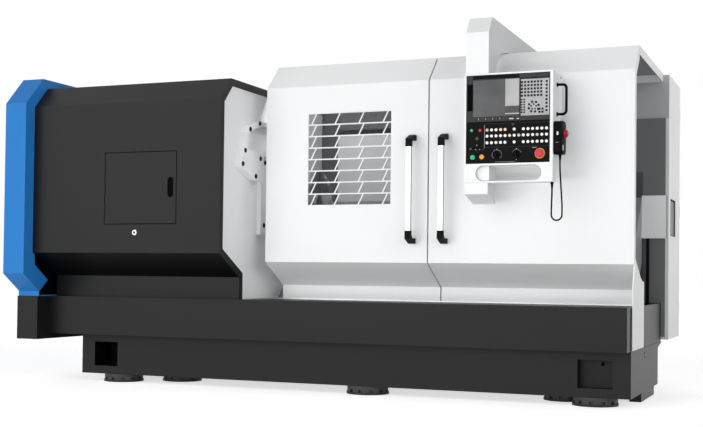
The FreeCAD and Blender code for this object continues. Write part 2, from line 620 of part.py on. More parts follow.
def make_headstock_cover():
    body = new_body("headstock_cover")
    pad(body, "cover_skin", "X", "cover_left", "cover_right-cover_left", folded(COVER_SIDE, "sheet"))
    pad(body, "cover_rim_flange", "X", "cover_right-sheet", "sheet",
        folded(COVER_SIDE[:-1], "cover_rim"))
    cut(body, "access_opening", "Y", "cover_front", "sheet",
        rect("access_left-access_gap", "access_low-access_gap",
             "access_right+access_gap", "access_high+access_gap"),
        ("circle", "lock_x", "lock_z", "lock_stem_radius+lock_gap"))
    keep(body, "headstock_cover")


def make_access_door():
    plate = prism("access_plate", "Y", "cover_front", "sheet",
                  rect("access_left", "access_low", "access_right", "access_high"),
                  ("slot", ("finger_slot_x", "finger_slot_low"), ("finger_slot_x", "finger_slot_high"),
                   "finger_slot_radius"))
    knuckles = [rod(f"access_knuckle_{i + 1}", "Z",
                    ("knuckle_x", "knuckle_y", f"knuckle_low+{i}*knuckle_pitch"),
                    "knuckle_length", "knuckle_radius") for i in range(3)]
    keep(fused("access", plate, *knuckles), "access_door")
    face = "cover_front-lock_gap-lock_proud"
    head = rod("lock_head", "Y", ("lock_x", face, "lock_z"), "lock_proud", "lock_radius")
    stem = rod("lock_stem", "Y", ("lock_x", face, "lock_z"), "lock_stem_length", "lock_stem_radius")
    slit = block("lock_slit", ("lock_x-lock_slit_width/2", f"{face}-1", "lock_z-lock_slit_half"),
                 ("lock_x+lock_slit_width/2", f"{face}+lock_slit_depth", "lock_z+lock_slit_half"))
    keep(carved("lock", fused("lock_body", head, stem), slit), "cover_lock")


def make_end_cover():
    body = new_body("end_cover")
    width = "cover_left-end_left"
    pad(body, "end_skin", "X", "end_left", width,
        END_COVER_SIDE, inner_path(END_COVER_SIDE, "sheet", closed=True))
    pad(body, "end_face", "X", "end_left", "sheet", END_COVER_SIDE)
    mouth = [("end_toe_y+sheet", "tray_top+sheet"), ("end_toe_y+sheet", "end_shin_z"),
             ("end_toe_y+end_mitre_run", "end_shin_z+end_mitre_rise")]
    mouth += inner_path(END_COVER_SIDE, "end_flange", closed=True)[2:6]
    mouth.append(("cover_rear-end_flange", "tray_top+sheet"))
    pad(body, "end_return_face", "X", "cover_left-sheet", "sheet", END_COVER_SIDE, mouth)
    keep(body, "end_cover")
    foot = block("foot", ("end_left", "foot_front", "foot_bottom"), ("cover_left", "cover_rear", "tray_top"))
    keep(foot, "end_cover_foot")


def make_end_panel():
    body = new_body("headstock_end_panel")
    skin = inner_path(COVER_SIDE, "sheet")
    notch = [("bed_rear+bed_clearance", "tray_top"),
             ("bed_rear+bed_clearance", slope_line("bed_rear+bed_clearance", "2*bed_clearance")),
             ("tray_top-spindle_z+spindle_y+2*bed_drop*slope-2*bed_clearance", "tray_top")]
    left = "cover_right-sheet-panel_thickness"
    pad(body, "end_plate", "X", left, "panel_thickness", skin + notch,
        ("circle", "spindle_y", "spindle_z", "spindle_hole_radius"))
    keep(body, "headstock_end_panel")


def make_guards():
    body = new_body("guard_arch_piece")
    left = "cover_right-sheet"
    pad(body, "guard_block", "X", left, "guard_depth", GUARD_SIDE)
    cut(body, "guard_hollow", "X", left, "guard_depth-guard_sheet",
        inner_path(GUARD_SIDE, "guard_sheet", closed=True))
    cut(body, "guard_arch", "X", left, "guard_depth", GUARD_ARCH)
    leg = prism("guard_leg", "X", left, "leg_depth", [
        ("leg_front", "leg_low"), ("leg_rear", "leg_low+leg_rise"), ("leg_rear", "leg_high"),
        ("leg_front", "leg_high")])
    keep(group("guards", [body, leg]), "chuck_side_guard")


# ---------------------------------------------------------------- doors

def make_door_shell(name, start, end):
    body = new_body(name)
    pad(body, name + "_skin", "X", start, f"{end}-({start})", folded(DOOR_SIDE, "door_sheet", True))
    for side, at in (("left", start), ("right", f"{end}-door_sheet")):
        pad(body, f"{name}_{side}_flange", "X", at, "door_sheet", folded(DOOR_SIDE, "door_flange", True))
    return body


def make_left_door():
    body = make_door_shell("left_door", "left_door_start", "left_door_end")
    cut(body, "window_opening", "Y", "door_front", "door_flange",
        rect("window_left", "window_low", "window_right", "window_high"))
    keep(body, "left_door")
    edge = rect("window_left-window_lap", "window_low-window_lap",
                "window_right+window_lap", "window_high+window_lap")
    guard = new_body("left_window_guard")
    behind = "door_front+door_sheet"
    pad(guard, "guard_plate", "Y", behind, "guard_plate", edge)
    pitch = "(window_high-window_low)/guard_rows"
    low, high = "window_low+guard_bar/2", f"window_low+{pitch}-guard_bar/2"
    cells = []
    bars = 4
    for i in range(bars + 1):
        left = f"guard_first_bar+{i - 1}*guard_column_pitch+guard_bar/2"
        right = f"guard_first_bar+{i}*guard_column_pitch-guard_bar/2"
        lean = "guard_lean/2"
        corners = [(f"{left}-{lean}", low), (f"{right}-{lean}", low),
                   (f"{right}+{lean}", high), (f"{left}+{lean}", high)]
        if i == 0:
            corners[0] = ("window_left", low)
            corners[3] = ("window_left", high)
        if i == bars:
            corners[1] = ("window_right", low)
            corners[2] = ("window_right", high)
        cells.append(corners)
    row = cut(guard, "guard_cells", "Y", behind, "guard_plate", *cells)
    row_of(guard, "guard_cell_rows", row, "Z", pitch, "guard_rows")
    keep(guard, "left_window_guard")
    keep(prism("glass", "Y", f"{behind}+guard_plate", "glass_thickness", edge), "left_door_glass")


def make_right_door():
    body = make_door_shell("right_door", "right_door_start", "right_door_end")
    pad(body, "right_door_end_plate", "X", "right_door_end", "door_sheet", [
        ("end_plate_front", "end_plate_low"), ("end_plate_rear", "end_plate_low"),
        ("end_plate_rear", "end_plate_top"), ("end_plate_inner", "end_plate_top"),
        ("door_front", "door_knee_z"), ("end_plate_front", "end_plate_shin_z")])
    keep(body, "right_door")


def make_handle(side):
    left = f"{side}_handle_start"
    body = prism(f"{side}_bar", "X", f"{left}+handle_cap_skin", "handle_width-2*handle_cap_skin",
                 rect("handle_front+handle_cap_skin", "handle_low+handle_cap_height",
                      "handle_front+handle_bar_depth", "handle_high-handle_cap_height"))
    keep(body, f"{side}_handle_bar")
    bar_back = "handle_front+handle_bar_depth"
    caps = []
    for end, tip, sign in (("low", "handle_low", ""), ("high", "handle_high", "0-")):
        shoulder = f"{tip}+({sign}handle_cap_height)"
        leg = f"{tip}+({sign}handle_leg)"
        bend = f"{tip}+({sign}handle_drop)"
        caps.append(prism(f"{side}_{end}_cap", "X", left, "handle_width", [
            ("door_front", tip), ("handle_front+handle_slope", tip), ("handle_front", bend),
            ("handle_front", shoulder), (bar_back, shoulder),
            (bar_back, f"{leg}+({sign}handle_fillet)"), (f"{bar_back}+handle_fillet", leg),
            ("door_front", leg)]))
    keep(group(f"{side}_caps", caps), f"{side}_handle_caps")


def make_roof_and_rails():
    low = block("low_strip", ("rail_strip_left", "rail_strip_front", "tray_top"),
                ("tray_right", "rail_strip_rear", "tray_top+rail_strip_height"))
    top_z = "roof_top-roof_sheet"
    high = block("high_strip", ("left_door_start+roof_sheet", "top_rail_front", f"{top_z}-top_rail_height"),
                 ("right_door_end-roof_sheet", "top_rail_rear", top_z))
    keep(group("rails_for_doors", [low, high]), "door_rails")
    body = new_body("roof_panel")
    pad(body, "roof_block", "Z", "roof_top-roof_drop", "roof_drop",
        rect("left_door_start", "roof_front", "right_door_end", "rear_wall_rear"))
    cut(body, "roof_hollow", "Z", "roof_top-roof_drop", "roof_drop-roof_sheet",
        rect("left_door_start+roof_sheet", "roof_front+roof_sheet",
             "right_door_end-roof_sheet", "rear_wall_rear-roof_sheet"))
    keep(body, "roof_panel")


# ---------------------------------------------------------------- rear and right end

def make_rear():
    box = block("side_box", ("side_box_left", "side_box_front", "side_box_low"),
                ("cabinet_right-cabinet_wall", "side_box_rear", "side_box_high"))
    wall = prism("wall_plate", "Y", "cover_rear", "rear_wall_rear-cover_rear", [
        ("cover_right", "rear_wall_low"), ("rear_wall_right", "rear_wall_low"),
        ("rear_wall_right", "side_box_low"), ("side_box_left", "side_box_low"),
        ("side_box_left", "side_box_high"), ("rear_wall_right", "side_box_high"),
        ("rear_wall_right", "rear_wall_high"), ("cabinet_left", "rear_wall_high"),
        ("cabinet_left", "cover_top"), ("cover_right", "cover_top")])
    keep(wall, "rear_wall")
    body = new_body("rear_cabinet")
    inner = ("cabinet_left+cabinet_wall", "cabinet_low+cabinet_wall",
             "cabinet_right-cabinet_wall", "cabinet_high-cabinet_wall")
    pad(body, "cabinet_block", "Y", "rear_wall_rear", "cabinet_rear-rear_wall_rear",
        rect("cabinet_left", "cabinet_low", "cabinet_right", "cabinet_high"))
    cut(body, "cabinet_hollow", "Y", "rear_wall_rear+cabinet_wall",
        "cabinet_rear-rear_wall_rear-cabinet_wall", rect(*inner))
    cut(body, "cabinet_window", "X", "cabinet_right-cabinet_wall", "cabinet_wall",
        rect("cabinet_window_front", "cabinet_window_low", "cabinet_window_rear", "cabinet_window_high"))
    cut(body, "side_box_way", "Y", "rear_wall_rear", "cabinet_wall",
        rect("side_box_left", "side_box_low", "cabinet_right-cabinet_wall", "side_box_high"))
    keep(body, "rear_cabinet")
    keep(box, "side_box")
    make_cabinet_doors()
    drain = rod("drain", "Z", ("drain_x", "drain_y", "base_top+tray_wall"),
                "side_box_low-base_top-tray_wall", "drain_radius")
    keep(drain, "drain_pipe")


def make_cabinet_doors():
    """Each leaf has a folded edge, a latch plate beside the split and hinge knuckles on its outer edge."""
    front, gap, edge = "cabinet_rear+cabinet_door_offset", "cabinet_door_gap", "cabinet_door_edge"
    face = f"{front}+cabinet_door_thickness"
    low, high = f"cabinet_low+{gap}", f"cabinet_high-{gap}"
    outer = {"left": "cabinet_left+cabinet_door_side_gap", "right": "cabinet_right-cabinet_door_side_gap"}
    for side, sign in (("left", "-"), ("right", "+")):
        inner = f"cabinet_door_split{sign}{gap}"
        start, end = (outer[side], inner) if side == "left" else (inner, outer[side])
        leaf = new_body(f"{side}_leaf")
        pad(leaf, f"{side}_leaf_block", "Y", front, "cabinet_door_thickness", rect(start, low, end, high))
        cut(leaf, f"{side}_leaf_hollow", "Y", front, "cabinet_door_thickness-cabinet_door_sheet",
            rect(f"{start}+{edge}", f"{low}+{edge}", f"{end}-{edge}", f"{high}-{edge}"))
        near = f"{inner}{sign}latch_inset"
        far = f"{near}{sign}latch_width"
        left, right = (far, near) if side == "left" else (near, far)
        latch = block(f"{side}_latch", (left, f"{face}-1", "latch_low"),
                      (right, f"{face}+latch_proud", "latch_low+latch_height"))
        knuckles = [rod(f"{side}_knuckle_{i + 1}", "Z",
                        (outer[side], f"{face}+latch_proud-hinge_radius", f"hinge_low+{i}*hinge_pitch"),
                        "hinge_length", "hinge_radius") for i in range(3)]
        keep(fused(f"{side}_cabinet_leaf", leaf, latch, *knuckles), f"cabinet_door_{side}")


# ---------------------------------------------------------------- pendant

def make_arm():
    """The arm welded up from box sections, from the toe of its column to its tail on the roof."""
    sections = {
        "toe": [("arm_front", "arm_toe_front"), ("arm_front", "arm_recess_low"),
                ("arm_back", "arm_recess_low"), ("arm_back", "arm_toe_back")],
        "column": rect("arm_recess", "arm_recess_low", "arm_back", "arm_recess_high"),
        "head": [("arm_front", "arm_recess_high"), ("arm_front", "arm_shoulder"), ("arm_chin_y", "arm_top"),
                 ("arm_back", "arm_top"), ("arm_back", "arm_recess_high")],
        "elbow": [("arm_back", "arm_elbow_z"), ("arm_back", "arm_top"), ("arm_bridge_y", "arm_top"),
                  ("arm_bridge_y", "arm_bridge_z")],
        "bridge": [("arm_bridge_y", "arm_bridge_z"), ("arm_bridge_y", "arm_top"), ("arm_lip_y", "arm_top"),
                   ("arm_lip_y", "arm_lip_z")],
        "lip": rect("arm_lip_y", "arm_lip_z", "arm_seat_y", "arm_top"),
        "tail": rect("arm_seat_y", "roof_top", "arm_tail", "arm_top"),
    }
    keep(group("arm_sections", [prism(f"arm_{name}", "X", "arm_left", "arm_right-arm_left", outline)
                                for name, outline in sections.items()]), "pendant_arm")


BUTTONS = {"power_on": "small", "power_off": "small", "cycle_start": "large", "feed_hold": "large"}


def control_circles():
    """The round holes behind the knobs and the emergency stop."""
    holes = [("circle", f"{name}_knob_x", "knob_z", "knob_stem_radius+knob_gap")
             for name in ("feed", "rapid")]
    holes.append(("circle", "estop_x", "estop_z", "estop_bore"))
    return holes


def make_pendant():
    body = new_body("pendant_housing")
    pad(body, "pendant_block", "X", "pendant_left", "pendant_right-pendant_left", [
        ("arm_front", "pendant_low"), ("pendant_toe_y", "pendant_low"),
        ("pendant_knee_y", "pendant_knee_z"), ("pendant_rear", "pendant_brow_z"),
        ("pendant_rear", "pendant_high"), ("arm_front", "pendant_high")])
    cut(body, "arm_bay", "X", "pendant_left", "pendant_bay-pendant_left",
        rect("arm_front+pendant_skin", "pendant_low-1", "pendant_rear+1", "pendant_high+1"))
    cut(body, "hand_hole", "Y", "arm_front", "pendant_rear-arm_front",
        ("slot", ("hand_hole_left", "hand_hole_z"), ("hand_hole_right", "hand_hole_z"),
         "hand_hole_radius"))
    cut(body, "panel_seat", "Y", "arm_front", "panel_recess",
        rect("panel_left", "panel_low", "panel_right", "panel_high"))
    cut(body, "control_ways", "Y", "arm_front+panel_recess", "control_way_depth", *control_circles())
    keep(body, "pendant_housing")


def make_control_panel():
    body = new_body("control_panel")
    front = "arm_front+panel_recess-panel_plate"
    pad(body, "panel_plate", "Y", front, "panel_plate",
        rect("panel_left", "panel_low", "panel_right", "panel_high"))
    cut(body, "screen_seat", "Y", front, "screen_seat",
        rect("screen_left", "screen_low", "screen_right", "screen_high"))
    cut(body, "shallow_seats", "Y", front, "recess_depth",
        rect("keypad_left", "keypad_low", "keypad_right", "keypad_high"),
        rect("card_slot_left", "card_slot_low", "card_slot_right", "card_slot_high"))
    cut(body, "split_line", "Y", front, "recess_depth",
        rect("panel_left", "panel_split-1", "panel_right", "panel_split+1"))
    holes = [("circle", f"{name}_x", f"{name}_z", f"{kind}_button_radius+button_gap")
             for name, kind in BUTTONS.items()]
    cut(body, "control_holes", "Y", front, "panel_plate", *holes, *control_circles())
    keep(body, "control_panel")
    screen_front = f"{front}+screen_seat-screen_plate"
    keep(prism("screen", "Y", screen_front, "screen_plate",
               rect("screen_left", "screen_low", "screen_right", "screen_high")), "display_screen")


def make_keys():
    front = "arm_front+panel_recess-panel_plate"
    keys = []
    for i in range(8):
        left = f"soft_key_left+{i}*soft_key_pitch"
        keys.append(block(f"soft_key_{i + 1}", (left, f"{front}-key_proud", "soft_key_low"),
                          (f"{left}+soft_key_width", front, "soft_key_high")))
    rows = {"top": (0, 1, 2, 3, 4, 6, 8, 9, 10, 11, 12, 13), "middle": range(14),
            "low": (0, 1, 2, 3, 4, 6, 8, 9, 10, 11, 12, 13)}
    for row, places in rows.items():
        for i in places:
            spot = (f"round_key_left+{i}*round_key_pitch", f"{front}-key_proud", f"round_key_{row}_z")
            keys.append(rod(f"{row}_key_{i + 1}", "Y", spot, "key_proud", "round_key_radius"))
    keep(group("keys", keys), "key_caps")


def make_buttons():
    front = "arm_front+panel_recess-panel_plate"
    for name, kind in BUTTONS.items():
        button = rod(name, "Y", (f"{name}_x", f"{front}-button_proud", f"{name}_z"),
                     "button_proud+button_stem", f"{kind}_button_radius")
        keep(button, f"{name}_button")
    for name in ("feed", "rapid"):
        x = f"{name}_knob_x"
        skirt_front = f"{front}-knob_gap-knob_skirt"
        skirt = rod(f"{name}_skirt", "Y", (x, skirt_front, "knob_z"), "knob_skirt", "knob_skirt_radius")
        stem = rod(f"{name}_stem", "Y", (x, skirt_front, "knob_z"),
                   "knob_skirt+knob_gap+panel_plate", "knob_stem_radius")
        top = f"{skirt_front}-(knob_height-knob_skirt)"
        barrel = rod(f"{name}_barrel", "Y", (x, top, "knob_z"), "knob_height-knob_skirt", "knob_radius")
        cheeks = []
        for sign, far in (("0-", "0-knob_skirt_radius"), ("", "knob_skirt_radius")):
            ends = [f"{x}+({sign}knob_grip_half)", f"{x}+({far})"]
            if sign:
                ends.reverse()
            cheeks.append(block(f"{name}_cheek{sign[:1]}", (ends[0], f"{top}-1", "knob_z-knob_skirt_radius"),
                                (ends[1], f"{skirt_front}-2", "knob_z+knob_skirt_radius")))
        grip = carved(f"{name}_grip", barrel, *cheeks)
        keep(fused(f"{name}_knob", skirt, stem, grip), f"{name}_override_knob")


def make_estop():
    front = "arm_front+panel_recess-panel_plate"
    collar = prism("collar", "Y", f"{front}-estop_ring_height", "estop_ring_height",
                   ("circle", "estop_x", "estop_z", "estop_ring_radius"),
                   ("circle", "estop_x", "estop_z", "estop_bore"))
    keep(collar, "estop_ring")
    body = new_body("estop_button")
    cap_back = "estop_ring_height+estop_gap"
    turned(body, "mushroom", [
        ("0-panel_plate", "0"), ("0-panel_plate", "estop_stem_radius"),
        (cap_back, "estop_stem_radius"), (cap_back, "estop_cap_radius"),
        (f"{cap_back}+estop_cap_height-estop_edge", "estop_cap_radius"),
        (f"{cap_back}+estop_cap_height", "estop_cap_radius-estop_edge"),
        (f"{cap_back}+estop_cap_height", "0")])
    body.Placement.Rotation = FreeCAD.Rotation(V(0, 0, 1), -90)
    place(body, "estop_x", front, "estop_z")
    keep(body, "estop_button")


def make_grip():
    body = new_body("pendant_handle")
    body.Placement.Base = V(0, 0, 0)
    place(body, 0, "grip_y", 0)
    path = body.newObject("Sketcher::SketchObject", "grip_path")
    path.AttachmentSupport = [(origin_feature(body, "XZ_Plane"), "")]
    path.MapMode = "FlatFace"
    start, reach, low, high, bend = [value(word) for word in
                                     ("pendant_right", "grip_reach", "grip_low", "grip_high", "grip_bend")]
    corner = reach - bend
    lines = [(start, low, corner, low), (reach, low + bend, reach, high - bend), (corner, high, start, high)]
    arcs = [(corner, low + bend, 1.5, 2.0), (corner, high - bend, 0.0, 0.5)]
    first = [path.addGeometry(Part.LineSegment(V(a, b, 0), V(c, d, 0)), False) for a, b, c, d in lines]
    turns = [path.addGeometry(Part.ArcOfCircle(Part.Circle(V(u, v, 0), V(0, 0, 1), bend),
                                               math.pi * begin, math.pi * end), False)
             for u, v, begin, end in arcs]
    for one, other in ((first[0], turns[0]), (turns[0], first[1]), (first[1], turns[1]),
                       (turns[1], first[2])):
        path.addConstraint(Sketcher.Constraint("Tangent", one, 2, other, 1))
    tie(path, first[0], 1, "pendant_right", "grip_low")
    tie(path, first[2], 2, "pendant_right", "grip_high")
    tie(path, turns[0], 3, "grip_reach-grip_bend", "grip_low+grip_bend")
    tie(path, turns[1], 3, "grip_reach-grip_bend", "grip_high-grip_bend")
    for index in turns:
        ring = path.addConstraint(Sketcher.Constraint("Radius", index, bend))
        path.setExpression(f"Constraints[{ring}]", bound("grip_bend"))
    section = new_sketch(body, "grip_section", "X", "pendant_right",
                         [("circle", "0", "grip_low", "grip_radius")])
    doc.recompute()
    pipe = body.newObject("PartDesign::AdditivePipe", "grip_pipe")
    pipe.Profile = section
    pipe.Spine = path
    body.Tip = pipe
    keep(body, "pendant_handle")


def make_handwheel():
    corner = "wheel_corner"
    front, rear, low, high = "wheel_front", "wheel_rear", "wheel_low", "wheel_high"
    keep(prism("wheel_case", "X", "pendant_right", "wheel_right-pendant_right", [
        (f"{front}+{corner}", low), (f"{rear}-{corner}", low), (rear, f"{low}+{corner}"),
        (rear, f"{high}-{corner}"), (f"{rear}-{corner}", high), (f"{front}+{corner}", high),
        (front, f"{high}-{corner}"), (front, f"{low}+{corner}")]), "handwheel_unit")
    body = new_body("handwheel_dial")
    turned(body, "dial", [
        ("0", "0"), ("0", "dial_radius"), ("dial_height-dial_edge", "dial_radius"),
        ("dial_height", "dial_radius-dial_edge"), ("dial_height", "dial_cap_radius"),
        ("dial_height+dial_cap_height-dial_edge", "dial_cap_radius"),
        ("dial_height+dial_cap_height", "dial_cap_radius-dial_edge"),
        ("dial_height+dial_cap_height", "0")])
    place(body, "wheel_right+dial_gap", "(wheel_front+wheel_rear)/2", "dial_z")
    keep(body, "handwheel_dial")


def make_cable():
    """A round cord that hangs in a loop: straight runs joined by arcs that touch both runs."""
    y, radius, share = value("cable_y"), value("cable_radius"), value("cable_arc_share")
    points = [V(x, y, z) for x, z in CABLE_ROUTE]
    edges, radii = [], []
    last = points[0]
    for before, here, after in zip(points, points[1:], points[2:]):
        run_in, run_out = here - before, after - here
        half_turn = run_in.getAngle(run_out) / 2
        trim = share * min(run_in.Length, run_out.Length)
        radii.append(trim / math.tan(half_turn))
        start = here - run_in.normalize() * trim
        end = here + run_out.normalize() * trim
        bisector = (end - here).add(start - here).normalize()
        middle = here + bisector * (radii[-1] / math.cos(half_turn) - radii[-1])
        edges.append(Part.LineSegment(last, start).toShape())
        edges.append(Part.Arc(start, middle, end).toShape())
        last = end
    edges.append(Part.LineSegment(last, points[-1]).toShape())
    spine = Part.Wire(edges)
    ring = Part.Wire([Part.Circle(points[0], points[1] - points[0], radius).toShape()])
    cable = doc.addObject("Part::Feature", "cable")
    cable.Shape = spine.makePipeShell([ring], True, False)
    cable.Placement = FreeCAD.Placement()
    expected = math.pi * radius ** 2 * spine.Length
    print(f"cable: length {spine.Length:.1f}, radii {min(radii):.1f} to {max(radii):.1f}, "
          f"volume share {cable.Shape.Volume / expected:.4f}")
    keep(cable, "handwheel_cable")


# ---------------------------------------------------------------- carriage and tailstock

def slide_section(start, end, high):
    """The section of a block that rests on both rails and reaches down beside them."""
    gap, low = "saddle_rail_gap", "saddle_low"
    hang = "rail_height*0.15"
    return [(start, hang), (f"low_rail_start-{gap}", hang), (f"low_rail_start-{gap}", low),
            (f"low_rail_end+{gap}", low), (f"low_rail_end+{gap}", hang),
            (f"low_rail_end+saddle_skirt", hang), ("low_rail_end+saddle_skirt", low),
            (f"high_rail_start-saddle_skirt", low), ("high_rail_start-saddle_skirt", hang),
            (f"high_rail_start-{gap}", hang), (f"high_rail_start-{gap}", low),
            (f"high_rail_end+{gap}", low), (f"high_rail_end+{gap}", hang), (end, hang),
            (end, high), (start, high)]


def make_carriage():
    body = new_body("carriage_saddle")
    pad(body, "saddle_block", "X", "saddle_left", "saddle_right-saddle_left",
        [on_slope(*spot) for spot in slide_section("saddle_start", "saddle_end", "saddle_high")])
    keep(body, "carriage_saddle")
    foot = prism("slide_foot", "X", "saddle_left+slide_step", "saddle_right-saddle_left-2*slide_step", [
        on_slope(*spot) for spot in (
            ("slide_start", "saddle_high+slide_gap"), ("slide_end", "saddle_high+slide_gap"),
            ("slide_end", "slide_cap"), ("slide_start", "slide_cap"))])
    start, end, top = "turret_house_start", "turret_house_end", "turret_house_top"
    chamfer = "turret_house_chamfer"
    house = prism("turret_house", "X", "turret_house_left", "turret_house_right-turret_house_left", [
        on_slope(*spot) for spot in (
            (start, "slide_cap-slide_step"), (end, "slide_cap-slide_step"), (end, f"{top}-{chamfer}"),
            (f"{end}-{chamfer}", top), (f"{start}+{chamfer}", top), (start, f"{top}-{chamfer}"))])
    keep(fused("slide", foot, house), "cross_slide")
    centre = on_slope("turret_centre_s", "bed_drop")
    disc = new_body("turret_disc")
    place(disc, 0, *centre)
    sides = DIMENSIONS["turret_sides"]
    turned(disc, "turret_plate", [
        ("turret_left-turret_hub_proud", "0"), ("turret_left-turret_hub_proud", "turret_hub_radius"),
        ("turret_left", "turret_hub_radius"), ("turret_left", "turret_radius"),
        ("turret_right", "turret_radius"), ("turret_right", "0")])
    flat = cut(disc, "turret_flat", "X", "turret_left", "turret_right-turret_left",
               rect("0-turret_radius/2", "turret_flat", "turret_radius/2", "turret_radius+1"))
    ring_of(disc, "turret_flats", flat, "turret_sides")
    keep(disc, "turret_disc")
    holders = []
    for i in range(0, sides, 2):
        holder = new_body(f"holder_{i + 1}")
        holder.Placement.Rotation = FreeCAD.Rotation(V(1, 0, 0), 360 * i / sides)
        place(holder, 0, *centre)
        pad(holder, f"holder_{i + 1}_block", "X", "turret_left", "turret_right-turret_left",
            rect("0-holder_half", "turret_flat", "holder_half", "holder_outer"))
        pad(holder, f"holder_{i + 1}_tool", "X", "tool_reach", "turret_left-tool_reach",
            rect("0-tool_half", "tool_inner", "tool_half", "tool_inner+2*tool_half"))
        holders.append(holder)
    keep(group("holders", holders), "tool_holders")


def make_tailstock():
    base = prism("tail_base", "X", "tail_left", "tail_right-tail_left",
                 [on_slope(*spot) for spot in slide_section("tail_start", "tail_end", "saddle_high")])
    half, shoulder = "quill_housing", "bed_drop-tail_shoulder"
    column = prism("tail_column", "X", "tail_left", "tail_right-tail_left", [
        on_slope(*spot) for spot in (
            ("0-tail_foot_half", "saddle_high-slide_step"), ("tail_foot_half", "saddle_high-slide_step"),
            (half, shoulder), (half, "bed_drop"), (f"0-{half}", "bed_drop"), (f"0-{half}", shoulder))])
    house = rod("quill_house", "X", ("tail_left-quill_nose", "spindle_y", "spindle_z"),
                "tail_right-tail_left+quill_nose", "quill_housing")
    way = rod("quill_way", "X", ("tail_left-quill_nose-1", "spindle_y", "spindle_z"),
              "tail_right-tail_left+quill_nose+2", "quill_radius+quill_gap")
    keep(carved("tailstock", fused("tail_solid", base, column, house), way), "tailstock_body")
    quill = on_spindle(new_body("tailstock_quill"))
    turned(quill, "quill", [
        ("quill_right", "0"), ("quill_right", "quill_radius"), ("quill_left", "quill_radius"),
        ("quill_left", "centre_radius"), ("quill_left-centre_rim", "centre_radius"), ("centre_left", "0")])
    keep(quill, "tailstock_quill")


# ---------------------------------------------------------------- build, check and write

def check_document():
    for item in doc.Objects:
        if "Invalid" in item.State or "Error" in item.State:
            raise RuntimeError(f"{item.Label}: {item.State}")
        if item.TypeId == "PartDesign::Pocket":
            before = item.BaseFeature.Shape.Volume
            if before - item.Shape.Volume < 1:
                raise RuntimeError(f"{item.Label} takes nothing away")
    for node in nodes:
        if node.Shape.isNull() or not node.Shape.isValid() or not node.Shape.Solids:
            raise RuntimeError(f"{node.Label} has no sound shape")


def write_parts():
    os.makedirs("parts", exist_ok=True)
    whole = FreeCAD.BoundBox()
    for node in nodes:
        node.Shape.exportStep(f"parts/{node.Label}.step")
        whole.add(node.Shape.BoundBox)
    print(f"{len(nodes)} sub-parts, x {whole.XMin:.1f} to {whole.XMax:.1f}, "
          f"y {whole.YMin:.1f} to {whole.YMax:.1f}, z {whole.ZMin:.1f} to {whole.ZMax:.1f}")


fill_sheet()
make_base()
make_mounts()
make_tray()
make_bed()
make_headstock()
make_motor()
make_spindle()
make_chuck()
make_headstock_cover()
make_access_door()
make_end_cover()
make_end_panel()
make_guards()
make_left_door()
make_right_door()
make_handle("left")
make_handle("right")
make_roof_and_rails()
make_rear()
make_arm()
make_pendant()
make_control_panel()
make_keys()
make_buttons()
make_estop()
make_grip()
make_handwheel()
make_cable()
make_carriage()
make_tailstock()
doc.recompute()
check_document()
write_parts()
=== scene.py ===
"""Finishes, small fittings, stage and camera for a large slant-bed turning lathe.

Sizes are written in millimetres and become metres where a mesh is made. +X runs from the headstock to
the tailstock, +Y to the back and +Z up, with the origin on the floor under the middle of the machine.
"""
import math

import bmesh
import bpy
from bpy.props import FloatProperty, FloatVectorProperty, IntProperty, PointerProperty
from mathutils import Matrix, Vector


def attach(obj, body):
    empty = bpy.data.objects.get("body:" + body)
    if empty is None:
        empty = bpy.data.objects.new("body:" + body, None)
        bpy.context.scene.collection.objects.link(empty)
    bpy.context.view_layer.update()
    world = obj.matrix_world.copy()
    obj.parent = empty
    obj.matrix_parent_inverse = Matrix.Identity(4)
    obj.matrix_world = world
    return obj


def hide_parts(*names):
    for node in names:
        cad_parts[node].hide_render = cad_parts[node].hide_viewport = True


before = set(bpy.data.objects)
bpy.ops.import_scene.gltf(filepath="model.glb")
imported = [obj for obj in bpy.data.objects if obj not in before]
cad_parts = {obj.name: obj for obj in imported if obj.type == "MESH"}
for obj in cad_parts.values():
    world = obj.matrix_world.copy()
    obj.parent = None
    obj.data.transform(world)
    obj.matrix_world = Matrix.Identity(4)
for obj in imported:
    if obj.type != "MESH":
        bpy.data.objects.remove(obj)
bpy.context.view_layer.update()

bl_info = {
    "name": "Turning lathe finish",
    "version": (1, 0, 0),
    "blender": (4, 5, 0),
    "location": "View3D > Sidebar > Lathe",
    "description": "Finishes, fittings, stage and camera for the packed turning lathe",
    "category": "Object",
}

MM = 0.001
FACING_FRONT = (math.pi / 2, 0.0, 0.0)
FACING_RIGHT = (0.0, math.pi / 2, 0.0)
TO_FRONT, TO_RIGHT, DOWN = (0, -1, 0), (1, 0, 0), (0, 0, -1)

# The control panel's front in Y, the middles of the key switch and of the cover's lock in X and Z, and
# the centres of the hand hole's two round ends.
PANEL_Y = -809.0
KEY_SWITCH = (979, 1277)
COVER_LOCK = (-925, 849)
HAND_HOLE = ((1011, 1138), (1263, 1138))
# Where the grid of round keys starts, and one cell of it, in metres.
KEY_CORNER = (1.0186, -1.5, 1.272)
KEY_CELL = (0.0228, 2.0, 0.033)
# Where the camera stands, in metres, and how far it is turned to the left, up and over, in degrees.
CAMERA_PLACE = (2.5990, -6.3746, 0.6270)
CAMERA_TURN = (22.154, 1.268, 0.662)
# The sensor's width and the focal length, and the shift that frames the machine as photographed.
CAMERA_LENS = (36, 59.91)
CAMERA_SHIFT = (-0.00443, 0.0516)


def shade(red, green, blue):
    """The linear colour of a screen colour given from 0 to 255."""
    parts = [number / 255 for number in (red, green, blue)]
    return tuple(p / 12.92 if p <= 0.04045 else ((p + 0.055) / 1.055) ** 2.4 for p in parts)


# ------------------------------------------------------------------ settings

